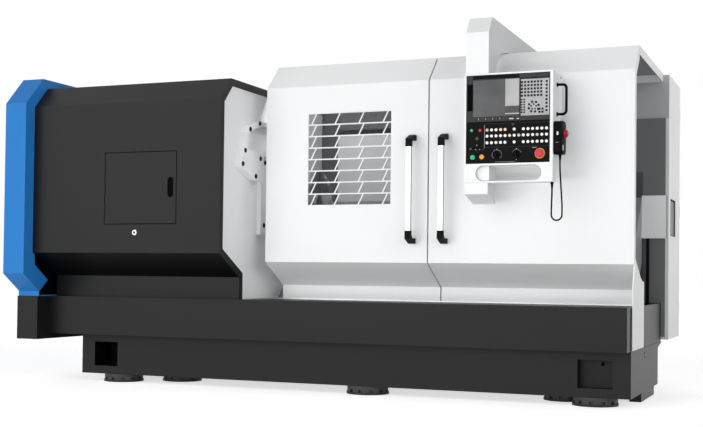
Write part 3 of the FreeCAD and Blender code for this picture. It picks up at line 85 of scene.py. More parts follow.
class PaintSettings(bpy.types.PropertyGroup):
    """Paint colours of the sheet metal and the castings."""
    white: FloatVectorProperty(name="White", description="Doors, roof, column and pendant",
                               subtype="COLOR", size=3, min=0, max=1, default=(0.80, 0.81, 0.815))
    dark: FloatVectorProperty(name="Dark grey", description="Headstock cover and its access door",
                              subtype="COLOR", size=3, min=0, max=1, default=(0.0075, 0.0077, 0.008))
    blue: FloatVectorProperty(name="Blue", description="End cover",
                              subtype="COLOR", size=3, min=0, max=1, default=(0.018, 0.185, 0.53))
    grey: FloatVectorProperty(name="Base grey", description="Base, front beam and coolant tray",
                              subtype="COLOR", size=3, min=0, max=1, default=(0.0075, 0.0077, 0.008))
    light_grey: FloatVectorProperty(name="Light grey", description="Rear cabinet and side box",
                                    subtype="COLOR", size=3, min=0, max=1, default=(0.72, 0.73, 0.735))
    casting: FloatVectorProperty(name="Casting grey", description="Bed, headstock, carriage and tailstock",
                                 subtype="COLOR", size=3, min=0, max=1, default=(0.26, 0.28, 0.29))


class FixingSettings(bpy.types.PropertyGroup):
    """Sizes of the bolts."""
    bolt_radius: FloatProperty(name="Bolt head", description="Radius over the corners of a hexagon head",
                               subtype="DISTANCE", unit="LENGTH", min=0.002, default=0.0125)
    bolt_height: FloatProperty(name="Bolt height", description="Height of a hexagon head",
                               subtype="DISTANCE", unit="LENGTH", min=0.001, default=0.0046)


class PanelSettings(bpy.types.PropertyGroup):
    """Sizes and counts on the control panel."""
    tick_count: IntProperty(name="Dial marks", description="Marks round an override knob",
                            min=3, max=60, default=16)
    tick_length: FloatProperty(name="Mark length", description="Length of a mark round a knob",
                               subtype="DISTANCE", unit="LENGTH", min=0.0005, default=0.0046)
    key_columns: IntProperty(name="Key columns", description="Columns of letter keys",
                             min=1, max=12, default=7)
    key_rows: IntProperty(name="Key rows", description="Rows of letter keys", min=1, max=12, default=5)


class StageSettings(bpy.types.PropertyGroup):
    """Strength of the studio light."""
    sky: FloatProperty(name="Sky", description="Strength of the even light from all round",
                       min=0, max=2, default=0.16)
    key: FloatProperty(name="Key lamp", description="Strength of the soft sun from the front left",
                       min=0, max=10, default=0.6)
    fill: FloatProperty(name="Fill lamp", description="Strength of the soft sun from the right",
                        min=0, max=10, default=1.09)
    front: FloatProperty(name="Front lamp", description="Strength of the level sun from the front",
                         min=0, max=10, default=0.9)
    back: FloatProperty(name="Back lamp", description="Strength of the level sun from behind",
                        min=0, max=10, default=1.3)
    strip: FloatProperty(name="Low strip", description="Power of the long lamp that lies before the machine",
                         subtype="POWER", unit="POWER", min=0, max=5000, default=105)
    inside: FloatProperty(name="Machine lamp", description="Power of the work light behind the doors",
                          subtype="POWER", unit="POWER", min=0, max=1000, default=8.2)
    lamp_spread: FloatProperty(name="Lamp spread", description="Apparent width of the soft suns",
                               subtype="ANGLE", unit="ROTATION", min=0, max=3.1, default=0.9)
    floor_glow: FloatProperty(name="Floor lift", description="Extra whiteness of the floor in the view",
                              min=0, max=1, default=0.64)


SETTINGS = {"lathe_paint": PaintSettings, "lathe_fixings": FixingSettings,
            "lathe_panel": PanelSettings, "lathe_stage": StageSettings}


# ------------------------------------------------------------------ nodes

def add_node(tree, kind, inputs=None, **settings):
    """A node with its settings made and its sockets set or linked, each by name or number."""
    node = tree.nodes.new(kind)
    for word, setting in settings.items():
        setattr(node, word, setting)
    for key, source in (inputs or {}).items():
        if isinstance(source, bpy.types.NodeSocket):
            tree.links.new(source, node.inputs[key])
        else:
            node.inputs[key].default_value = source
    return node


def new_finish(name, **fixed):
    """A material with one shader, whose fixed values are set on its own sockets."""
    material = bpy.data.materials.new(name)
    material.use_nodes = True
    tree = material.node_tree
    tree.nodes.clear()
    shader = tree.nodes.new("ShaderNodeBsdfPrincipled")
    output = tree.nodes.new("ShaderNodeOutputMaterial")
    tree.links.new(shader.outputs[0], output.inputs["Surface"])
    for word, setting in fixed.items():
        shader.inputs[word.replace("_", " ")].default_value = setting
    place = tree.nodes.new("ShaderNodeTexCoord").outputs["Object"]
    return material, tree, shader, place


def noise(tree, place, scale, detail=2.0, stretch=None):
    """Noise over the object, drawn out by the stretch where one is given."""
    if stretch:
        place = add_node(tree, "ShaderNodeMapping", {"Vector": place, "Scale": stretch}).outputs[0]
    return add_node(tree, "ShaderNodeTexNoise", {"Vector": place, "Scale": scale, "Detail": detail}).outputs[0]


def blend_colours(tree, factor, low, high, start=0.3, end=0.7):
    ramp = add_node(tree, "ShaderNodeValToRGB", {"Fac": factor})
    for element, position, colour in zip(ramp.color_ramp.elements, (start, end), (low, high)):
        element.position = position
        element.color = (*colour, 1)
    return ramp.outputs["Color"]


def vary(tree, shader, factor, low, high):
    """Let the roughness wander between two values."""
    spread = add_node(tree, "ShaderNodeMapRange", {"Value": factor, "To Min": low, "To Max": high})
    tree.links.new(spread.outputs[0], shader.inputs["Roughness"])


def bump(tree, shader, height, distance, strength=1.0):
    relief = add_node(tree, "ShaderNodeBump", {"Height": height, "Distance": distance, "Strength": strength})
    tree.links.new(relief.outputs[0], shader.inputs["Normal"])


def scaled(colour, factor):
    return tuple(min(1.0, part * factor) for part in colour)


def within(tree, place, low, high, facing=None):
    """1 inside a box of the object's own millimetres, on faces that face that way, and 0 outside it."""
    spot = add_node(tree, "ShaderNodeSeparateXYZ", {"Vector": place}).outputs
    tests = []
    for letter, start, end in zip("XYZ", low, high):
        for limit, operation in ((start, "GREATER_THAN"), (end, "LESS_THAN")):
            if limit is not None:
                tests.append(add_node(tree, "ShaderNodeMath", {0: spot[letter], 1: limit * MM},
                                      operation=operation).outputs[0])
    if facing:
        normal = tree.nodes.new("ShaderNodeTexCoord").outputs["Normal"]
        along = add_node(tree, "ShaderNodeVectorMath", {0: normal, 1: facing}, operation="DOT_PRODUCT")
        tests.append(add_node(tree, "ShaderNodeMath", {0: along.outputs["Value"], 1: 0.5},
                              operation="GREATER_THAN").outputs[0])
    whole = tests[0]
    for test in tests[1:]:
        whole = add_node(tree, "ShaderNodeMath", {0: whole, 1: test}, operation="MULTIPLY").outputs[0]
    return whole


def coat_of(tree, place, cloud, colour, less, more, patches=()):
    """A clouded colour; each patch (low corner, high corner, facing, colour) has one of its own, most of them
    painted light or shade.
    """
    tone = blend_colours(tree, cloud, scaled(colour, less), scaled(colour, more))
    for low, high, facing, coat in patches:
        own = blend_colours(tree, cloud, scaled(coat, less), scaled(coat, more))
        mask = within(tree, place, low, high, facing)
        tone = add_node(tree, "ShaderNodeMix", {0: mask, 6: tone, 7: own}, data_type="RGBA").outputs[2]
    return tone


def powder_coat(name, colour, roughness=0.5, specular=0.3, mottle=0.03, grain=0.00012, patches=()):
    """Paint baked on sheet metal: a fine orange-peel skin and hardly any change of tone."""
    material, tree, shader, place = new_finish(name, Specular_IOR_Level=specular)
    cloud = noise(tree, place, 1.7, 3)
    tree.links.new(coat_of(tree, place, cloud, colour, 1 - mottle, 1 + mottle, patches),
                   shader.inputs["Base Color"])
    peel = noise(tree, place, 260, 1)
    vary(tree, shader, peel, roughness - 0.05, roughness + 0.05)
    bump(tree, shader, peel, grain, 0.35)
    return material


def cast_paint(name, colour):
    """Thick paint over a sanded casting."""
    material, tree, shader, place = new_finish(name, Specular_IOR_Level=0.35)
    cloud = noise(tree, place, 5, 4)
    tree.links.new(blend_colours(tree, cloud, scaled(colour, 0.88), scaled(colour, 1.1)),
                   shader.inputs["Base Color"])
    vary(tree, shader, cloud, 0.42, 0.6)
    bump(tree, shader, noise(tree, place, 90, 4), 0.0006, 0.5)
    return material


def ground_steel(name, colour, roughness, stretch, patches=()):
    """Bare metal with fine lines along the way it was ground, turned or drawn."""
    material, tree, shader, place = new_finish(name, Metallic=1.0)
    lines = noise(tree, place, 60, 3, stretch)
    tree.links.new(coat_of(tree, place, lines, colour, 0.8, 1.12, patches), shader.inputs["Base Color"])
    vary(tree, shader, lines, roughness - 0.08, roughness + 0.1)
    bump(tree, shader, lines, 0.00008, 0.5)
    return material


def moulded(name, colour, roughness=0.5, specular=0.4, mottle=0.08, grain=0.00015):
    """Moulded plastic or rubber with a fine grain."""
    material, tree, shader, place = new_finish(name, Specular_IOR_Level=specular)
    cells = add_node(tree, "ShaderNodeTexVoronoi", {"Vector": place, "Scale": 900.0}).outputs["Distance"]
    cloud = noise(tree, place, 24, 2)
    tree.links.new(blend_colours(tree, cloud, scaled(colour, 1 - mottle), scaled(colour, 1 + mottle)),
                   shader.inputs["Base Color"])
    vary(tree, shader, cells, roughness - 0.06, roughness + 0.06)
    bump(tree, shader, cells, grain, 0.3)
    return material


def split_by_height(name, below, above, height, softness, roughness):
    """Two tones that meet at a height: rubber under metal, or one row of keys under another."""
    material, tree, shader, place = new_finish(name, Specular_IOR_Level=0.4)
    up = add_node(tree, "ShaderNodeSeparateXYZ", {"Vector": place}).outputs["Z"]
    step = add_node(tree, "ShaderNodeMapRange", {"Value": up, "From Min": height - softness,
                                                 "From Max": height + softness})
    fine = noise(tree, place, 70, 3)
    low = blend_colours(tree, fine, scaled(below, 0.85), scaled(below, 1.15))
    high = blend_colours(tree, fine, scaled(above, 0.85), scaled(above, 1.15))
    tone = add_node(tree, "ShaderNodeMix", {0: step.outputs[0], 6: low, 7: high}, data_type="RGBA")
    tree.links.new(tone.outputs[2], shader.inputs["Base Color"])
    vary(tree, shader, fine, roughness - 0.06, roughness + 0.08)
    bump(tree, shader, fine, 0.0001, 0.3)
    return material


def key_finish(name):
    """Round white and cream keys, with a black row of keys under the display."""
    material, tree, shader, place = new_finish(name, Specular_IOR_Level=0.35, Roughness=0.45)
    start = add_node(tree, "ShaderNodeVectorMath", {0: place, 1: KEY_CORNER}, operation="SUBTRACT")
    cell = add_node(tree, "ShaderNodeVectorMath", {0: start.outputs[0], 1: KEY_CELL}, operation="SNAP")
    pick = add_node(tree, "ShaderNodeTexWhiteNoise", {"Vector": cell.outputs[0]}, noise_dimensions="3D")
    ramp = add_node(tree, "ShaderNodeValToRGB", {"Fac": pick.outputs["Value"]})
    ramp.color_ramp.interpolation = "CONSTANT"
    stops = ramp.color_ramp.elements
    stops[0].position, stops[0].color = 0.0, (*shade(233, 233, 230), 1)
    stops[1].position, stops[1].color = 0.87, (*shade(226, 206, 184), 1)
    late = stops.new(0.96)
    late.color = (*shade(220, 186, 152), 1)
    up = add_node(tree, "ShaderNodeSeparateXYZ", {"Vector": place}).outputs["Z"]
    row = add_node(tree, "ShaderNodeMath", {0: up, 1: 1.39}, operation="GREATER_THAN")
    tone = add_node(tree, "ShaderNodeMix", {0: row.outputs[0], 6: ramp.outputs["Color"],
                                            7: (*shade(10, 10, 11), 1)}, data_type="RGBA")
    tree.links.new(tone.outputs[2], shader.inputs["Base Color"])
    bump(tree, shader, noise(tree, place, 500, 1), 0.0001, 0.3)
    return material


def window_pane(name):
    """A tinted sheet: partly clear, with a clean surface and a little haze."""
    material, tree, shader, place = new_finish(name, Alpha=0.3, Specular_IOR_Level=0.15)
    haze = noise(tree, place, 2.2, 3)
    tree.links.new(blend_colours(tree, haze, shade(40, 41, 43), shade(56, 57, 59)),
                   shader.inputs["Base Color"])
    vary(tree, shader, haze, 0.06, 0.14)
    return material


def screen_glass(name):
    """A display that is off, with painted light and shade on it: a lighter column, a dark field under that, and
    a pale line.
    """
    material, tree, shader, place = new_finish(name, Specular_IOR_Level=0.2)
    cloud = noise(tree, place, 9, 2)
    patches = [((1120, None, 1466), (1200, None, 1600), None, shade(169, 169, 170)),
               ((1120, None, None), (1200, None, 1466), None, shade(72, 72, 73)),
               ((1120, None, 1426), (1200, None, 1431), None, shade(183, 183, 184))]
    tree.links.new(coat_of(tree, place, cloud, shade(81, 82, 83), 0.86, 1.16, patches),
                   shader.inputs["Base Color"])
    vary(tree, shader, noise(tree, place, 30, 2), 0.3, 0.38)
    return material


# ------------------------------------------------------------------ shapes

def add_block(form, low, high, edge=0.0):
    """A block between two corners, with its edges eased."""
    low, high = Vector(low) * MM, Vector(high) * MM
    middle = Matrix.Translation((low + high) / 2)
    made = bmesh.ops.create_cube(form, size=1.0, matrix=middle @ Matrix.Diagonal((*(high - low), 1.0)))
    if edge:
        edges = list({e for corner in made["verts"] for e in corner.link_edges})
        bmesh.ops.bevel(form, geom=edges, offset=edge * MM, segments=2, profile=0.6, affect="EDGES")


def add_turned(form, centre, axis, profile, steps=32):
    """A turned shape from (distance along the axis, radius) pairs; a radius of 0 is a pole."""
    centre, axis = Vector(centre), Vector(axis).normalized()
    side = axis.orthogonal().normalized()
    other = axis.cross(side)
    rings = []
    for along, radius in profile:
        spot = centre + axis * along
        if radius == 0:
            rings.append([form.verts.new(spot * MM)])
            continue
        angles = [2 * math.pi * k / steps for k in range(steps)]
        rings.append([form.verts.new((spot + (side * math.cos(a) + other * math.sin(a)) * radius) * MM)
                      for a in angles])
    for ring, after in zip(rings, rings[1:]):
        for k in range(steps):
            n = (k + 1) % steps
            corners = [ring[k % len(ring)], ring[n % len(ring)], after[n % len(after)], after[k % len(after)]]
            unique = list(dict.fromkeys(corners))
            if len(unique) > 2:
                form.faces.new(unique)
    for ring in (rings[0], rings[-1]):
        if len(ring) > 1:
            form.faces.new(ring)


def add_ring(form, centre, axis, inner, outer, height, steps=40):
    """A flat ring that stands on the centre's plane."""
    centre, axis = Vector(centre), Vector(axis).normalized()
    side = axis.orthogonal().normalized()
    other = axis.cross(side)
    corners = ((0, inner), (height, inner), (height, outer), (0, outer))
    rings = []
    for k in range(steps):
        angle = 2 * math.pi * k / steps
        out = side * math.cos(angle) + other * math.sin(angle)
        rings.append([form.verts.new((centre + axis * along + out * radius) * MM) for along, radius in corners])
    for k in range(steps):
        here, after = rings[k], rings[(k + 1) % steps]
        for i in range(4):
            form.faces.new((here[i], here[(i + 1) % 4], after[(i + 1) % 4], after[i]))


def add_plate(form, outline, axis, start, depth):
    """A flat plate with that outline, pushed along X, Y or Z."""
    order = {"X": lambda at, u, v: (at, u, v), "Y": lambda at, u, v: (u, at, v),
             "Z": lambda at, u, v: (u, v, at)}[axis]
    near = [form.verts.new(Vector(order(start, u, v)) * MM) for u, v in outline]
    far = [form.verts.new(Vector(order(start + depth, u, v)) * MM) for u, v in outline]
    count = len(outline)
    form.faces.new(near)
    form.faces.new(far)
    for i in range(count):
        form.faces.new((near[i], near[(i + 1) % count], far[(i + 1) % count], far[i]))


def box_outline(left, low, right, high):
    return [(left, low), (right, low), (right, high), (left, high)]


def slot_outline(one, other, radius, steps=10):
    """The outline of a slot with round ends, from the centre of one end to the centre of the other."""
    heading = math.atan2(other[1] - one[1], other[0] - one[0])
    outline = []
    for centre, start in ((other, heading - math.pi / 2), (one, heading + math.pi / 2)):
        angles = [start + math.pi * k / steps for k in range(steps + 1)]
        outline += [(centre[0] + radius * math.cos(a), centre[1] + radius * math.sin(a)) for a in angles]
    return outline


def add_rim(form, outer, inner, axis, start, depth):
    """A flat rim between two outlines of as many corners, pushed along X or Y."""
    def corners(outline, at):
        return [form.verts.new(Vector((at, u, v) if axis == "X" else (u, at, v)) * MM) for u, v in outline]
    rings = [corners(outer, start), corners(outer, start + depth),
             corners(inner, start + depth), corners(inner, start)]
    for one, other in zip(rings, rings[1:] + rings[:1]):
        for i in range(len(outer)):
            n = (i + 1) % len(outer)
            form.faces.new((one[i], one[n], other[n], other[i]))


def keep(piece, body):
    """Let a finished piece ride on its body."""
    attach(piece, body)
    return piece


def settle(name, form, finish, body):
    """Turn a form into a piece in that finish, with its faces pointing out."""
    bmesh.ops.recalc_face_normals(form, faces=form.faces[:])
    mesh = bpy.data.meshes.new(name)
    form.to_mesh(mesh)
    form.free()
    mesh.materials.append(FINISHES[finish])
    mesh.shade_smooth()
    mesh.set_sharp_from_angle(angle=math.radians(32))
    piece = bpy.data.objects.new(name, mesh)
    bpy.context.scene.collection.objects.link(piece)
    return keep(piece, body)


def settle_blocks(name, finish, body, slot, *blocks):
    """A piece of blocks, each a low corner, a high corner and, where it has one, its eased edge."""
    form = bmesh.new()
    for block in blocks:
        add_block(form, *block)
    return settle(name, form, finish, body)


def settle_plates(name, finish, body, slot, *plates):
    """A piece of flat plates, each an outline, the axis it is pushed along, its start and its depth."""
    form = bmesh.new()
    for plate in plates:
        add_plate(form, *plate)
    return settle(name, form, finish, body)


def settle_rim(name, finish, body, outer, inner, axis, start, depth):
    """A piece that is one flat rim."""
    form = bmesh.new()
    add_rim(form, outer, inner, axis, start, depth)
    return settle(name, form, finish, body)


def settle_turned(name, finish, body, axis, profile, places, steps=32):
    """A piece of equal turned shapes, one at each place."""
    form = bmesh.new()
    for place in places:
        add_turned(form, place, axis, profile, steps)
    return settle(name, form, finish, body)


# ------------------------------------------------------------------ repeated fittings

def new_growth(name, inputs):
    """A geometry tree with named inputs: {name: (kind, default)}. Returns the tree and its inputs."""
    tree = bpy.data.node_groups.new(name, "GeometryNodeTree")
    tree.interface.new_socket("Geometry", in_out="INPUT", socket_type="NodeSocketGeometry")
    tree.interface.new_socket("Geometry", in_out="OUTPUT", socket_type="NodeSocketGeometry")
    for word, (kind, default) in {**inputs, "Finish": ("Material", None)}.items():
        socket = tree.interface.new_socket(word, in_out="INPUT", socket_type="NodeSocket" + kind)
        if default is not None:
            socket.default_value = default
    return tree, tree.nodes.new("NodeGroupInput").outputs


def end_growth(tree, given, geometry):
    real = add_node(tree, "GeometryNodeRealizeInstances", {"Geometry": geometry})
    painted = add_node(tree, "GeometryNodeSetMaterial",
                       {"Geometry": real.outputs[0], "Material": given["Finish"]})
    end = tree.nodes.new("NodeGroupOutput")
    tree.links.new(painted.outputs[0], end.inputs[0])
    return tree


def halved(tree, number):
    return add_node(tree, "ShaderNodeMath", {0: number, 1: 0.5}, operation="MULTIPLY").outputs[0]


def raised(tree, geometry, height):
    """The geometry moved up by half its height, so that it stands on its spot."""
    lift = add_node(tree, "ShaderNodeCombineXYZ", {"Z": halved(tree, height)})
    return add_node(tree, "GeometryNodeTransform",
                    {"Geometry": geometry, "Translation": lift.outputs[0]}).outputs[0]


def bolts_tree():
    """A bolt head on its washer at every point of the mesh."""
    tree, given = new_growth("bolts_on_points", {
        "Sides": ("Int", 6), "Head radius": ("Float", 0.0125), "Head height": ("Float", 0.009),
        "Washer radius": ("Float", 0.015), "Washer height": ("Float", 0.002), "Turn": ("Vector", None)})
    narrow = add_node(tree, "ShaderNodeMath", {0: given["Head radius"], 1: 0.9}, operation="MULTIPLY")
    head = add_node(tree, "GeometryNodeMeshCone", {
        "Vertices": given["Sides"], "Radius Top": narrow.outputs[0], "Radius Bottom": given["Head radius"],
        "Depth": given["Head height"]})
    washer = add_node(tree, "GeometryNodeMeshCylinder", {
        "Vertices": 24, "Radius": given["Washer radius"], "Depth": given["Washer height"]})
    bolt = add_node(tree, "GeometryNodeJoinGeometry")
    tree.links.new(head.outputs["Mesh"], bolt.inputs[0])
    tree.links.new(raised(tree, washer.outputs["Mesh"], given["Washer height"]), bolt.inputs[0])
    spread = add_node(tree, "GeometryNodeInstanceOnPoints", {
        "Points": given["Geometry"], "Instance": bolt.outputs[0], "Rotation": given["Turn"]})
    return end_growth(tree, given, spread.outputs[0])


def ring_tree():
    """Marks or screws spaced round a ring, each turned to face its middle."""
    tree, given = new_growth("ring_of_marks", {
        "Count": ("Int", 12), "Ring radius": ("Float", 0.02), "Start": ("Float", 0.0),
        "Step": ("Float", 0.5), "Sides": ("Int", 4), "Mark radius": ("Float", 0.001),
        "Mark height": ("Float", 0.001), "Mark shape": ("Vector", (1.0, 1.0, 1.0)),
        "Turn": ("Vector", None), "Place": ("Vector", None)})
    index = tree.nodes.new("GeometryNodeInputIndex").outputs[0]
    angle = add_node(tree, "ShaderNodeMath", {0: index, 1: given["Step"], 2: given["Start"]},
                     operation="MULTIPLY_ADD").outputs[0]
    parts = {}
    for word, function in (("X", "COSINE"), ("Y", "SINE")):
        wave = add_node(tree, "ShaderNodeMath", {0: angle}, operation=function).outputs[0]
        parts[word] = add_node(tree, "ShaderNodeMath", {0: wave, 1: given["Ring radius"]},
                               operation="MULTIPLY").outputs[0]
    spot = add_node(tree, "ShaderNodeCombineXYZ", parts).outputs[0]
    points = add_node(tree, "GeometryNodePoints", {"Count": given["Count"], "Position": spot})
    mark = add_node(tree, "GeometryNodeMeshCylinder", {
        "Vertices": given["Sides"], "Radius": given["Mark radius"], "Depth": given["Mark height"]})
    square = add_node(tree, "GeometryNodeTransform", {
        "Geometry": mark.outputs["Mesh"], "Rotation": (0.0, 0.0, math.pi / 4)})
    shaped = add_node(tree, "GeometryNodeTransform", {
        "Geometry": raised(tree, square.outputs[0], given["Mark height"]), "Scale": given["Mark shape"]})
    about = add_node(tree, "ShaderNodeCombineXYZ", {"Z": angle}).outputs[0]
    spread = add_node(tree, "GeometryNodeInstanceOnPoints", {
        "Points": points.outputs[0], "Instance": shaped.outputs[0], "Rotation": about})
    whole = add_node(tree, "GeometryNodeTransform", {
        "Geometry": spread.outputs[0], "Translation": given["Place"], "Rotation": given["Turn"]})
    return end_growth(tree, given, whole.outputs[0])


def row_tree():
    """Equal slats in a straight row, each leaned over by the same turn."""
    tree, given = new_growth("row_of_slats", {
        "Count": ("Int", 8), "Step": ("Vector", None), "Slat size": ("Vector", (0.1, 0.01, 0.01)),
        "Lean": ("Vector", None), "Place": ("Vector", None)})
    line = add_node(tree, "GeometryNodeMeshLine", {
        "Count": given["Count"], "Start Location": given["Place"], "Offset": given["Step"]}, mode="OFFSET")
    slat = add_node(tree, "GeometryNodeMeshCube", {"Size": given["Slat size"]})
    spread = add_node(tree, "GeometryNodeInstanceOnPoints", {
        "Points": line.outputs[0], "Instance": slat.outputs["Mesh"], "Rotation": given["Lean"]})
    return end_growth(tree, given, spread.outputs[0])


def keypad_tree():
    """A grid of tapered rectangular keys."""
    tree, given = new_growth("grid_of_keys", {
        "Columns": ("Int", 4), "Rows": ("Int", 5), "Across": ("Float", 0.016), "Up": ("Float", 0.014),
        "Key shape": ("Vector", (0.011, 0.009, 0.002)), "Turn": ("Vector", None),
        "Place": ("Vector", None)})
    sizes = {}
    for word, count, pitch in (("Size X", "Columns", "Across"), ("Size Y", "Rows", "Up")):
        gaps = add_node(tree, "ShaderNodeMath", {0: given[count], 1: 1.0}, operation="SUBTRACT").outputs[0]
        sizes[word] = add_node(tree, "ShaderNodeMath", {0: gaps, 1: given[pitch]},
                               operation="MULTIPLY").outputs[0]
    grid = add_node(tree, "GeometryNodeMeshGrid", {
        **sizes, "Vertices X": given["Columns"], "Vertices Y": given["Rows"]})
    key = add_node(tree, "GeometryNodeMeshCone", {
        "Vertices": 4, "Radius Top": 0.6, "Radius Bottom": 0.7071, "Depth": 1.0})
    square = add_node(tree, "GeometryNodeTransform", {
        "Geometry": key.outputs["Mesh"], "Rotation": (0.0, 0.0, math.pi / 4)})
    shaped = add_node(tree, "GeometryNodeTransform", {
        "Geometry": square.outputs[0], "Scale": given["Key shape"]})
    spread = add_node(tree, "GeometryNodeInstanceOnPoints", {
        "Points": grid.outputs["Mesh"], "Instance": shaped.outputs[0]})
    whole = add_node(tree, "GeometryNodeTransform", {
        "Geometry": spread.outputs[0], "Translation": given["Place"], "Rotation": given["Turn"]})
    return end_growth(tree, given, whole.outputs[0])


GROWTHS = {"bolts": bolts_tree, "ring": ring_tree, "row": row_tree, "keypad": keypad_tree}


def grow(name, kind, sizes, finish, body, spots=((0, 0, 0),)):
    """Run one of the trees and keep its result as one plain mesh. Positions are in millimetres."""
    tree = bpy.data.node_groups.get("growth_" + kind)
    if tree is None:
        tree = GROWTHS[kind]()
        tree.name = "growth_" + kind
    start = bpy.data.meshes.new(name + "_spots")
    start.from_pydata([Vector(spot) * MM for spot in spots], [], [])
    piece = bpy.data.objects.new(name, start)
    bpy.context.scene.collection.objects.link(piece)
    modifier = piece.modifiers.new("growth", "NODES")
    modifier.node_group = tree
    sockets = {item.name: item.identifier for item in tree.interface.items_tree
               if item.item_type == "SOCKET" and item.in_out == "INPUT"}
    for word, size in {**sizes, "Finish": FINISHES[finish]}.items():
        modifier[sockets[word]] = size
    depsgraph = bpy.context.evaluated_depsgraph_get()
    mesh = bpy.data.meshes.new_from_object(piece.evaluated_get(depsgraph), depsgraph=depsgraph)
    piece.modifiers.clear()
    piece.data = mesh
    mesh.name = name
    if not mesh.polygons:
        raise RuntimeError(f"{name} came out empty")
    return keep(piece, body)


def metres(*numbers):
    return [number * MM for number in numbers]


# ------------------------------------------------------------------ finishes by name

FINISHES = {}


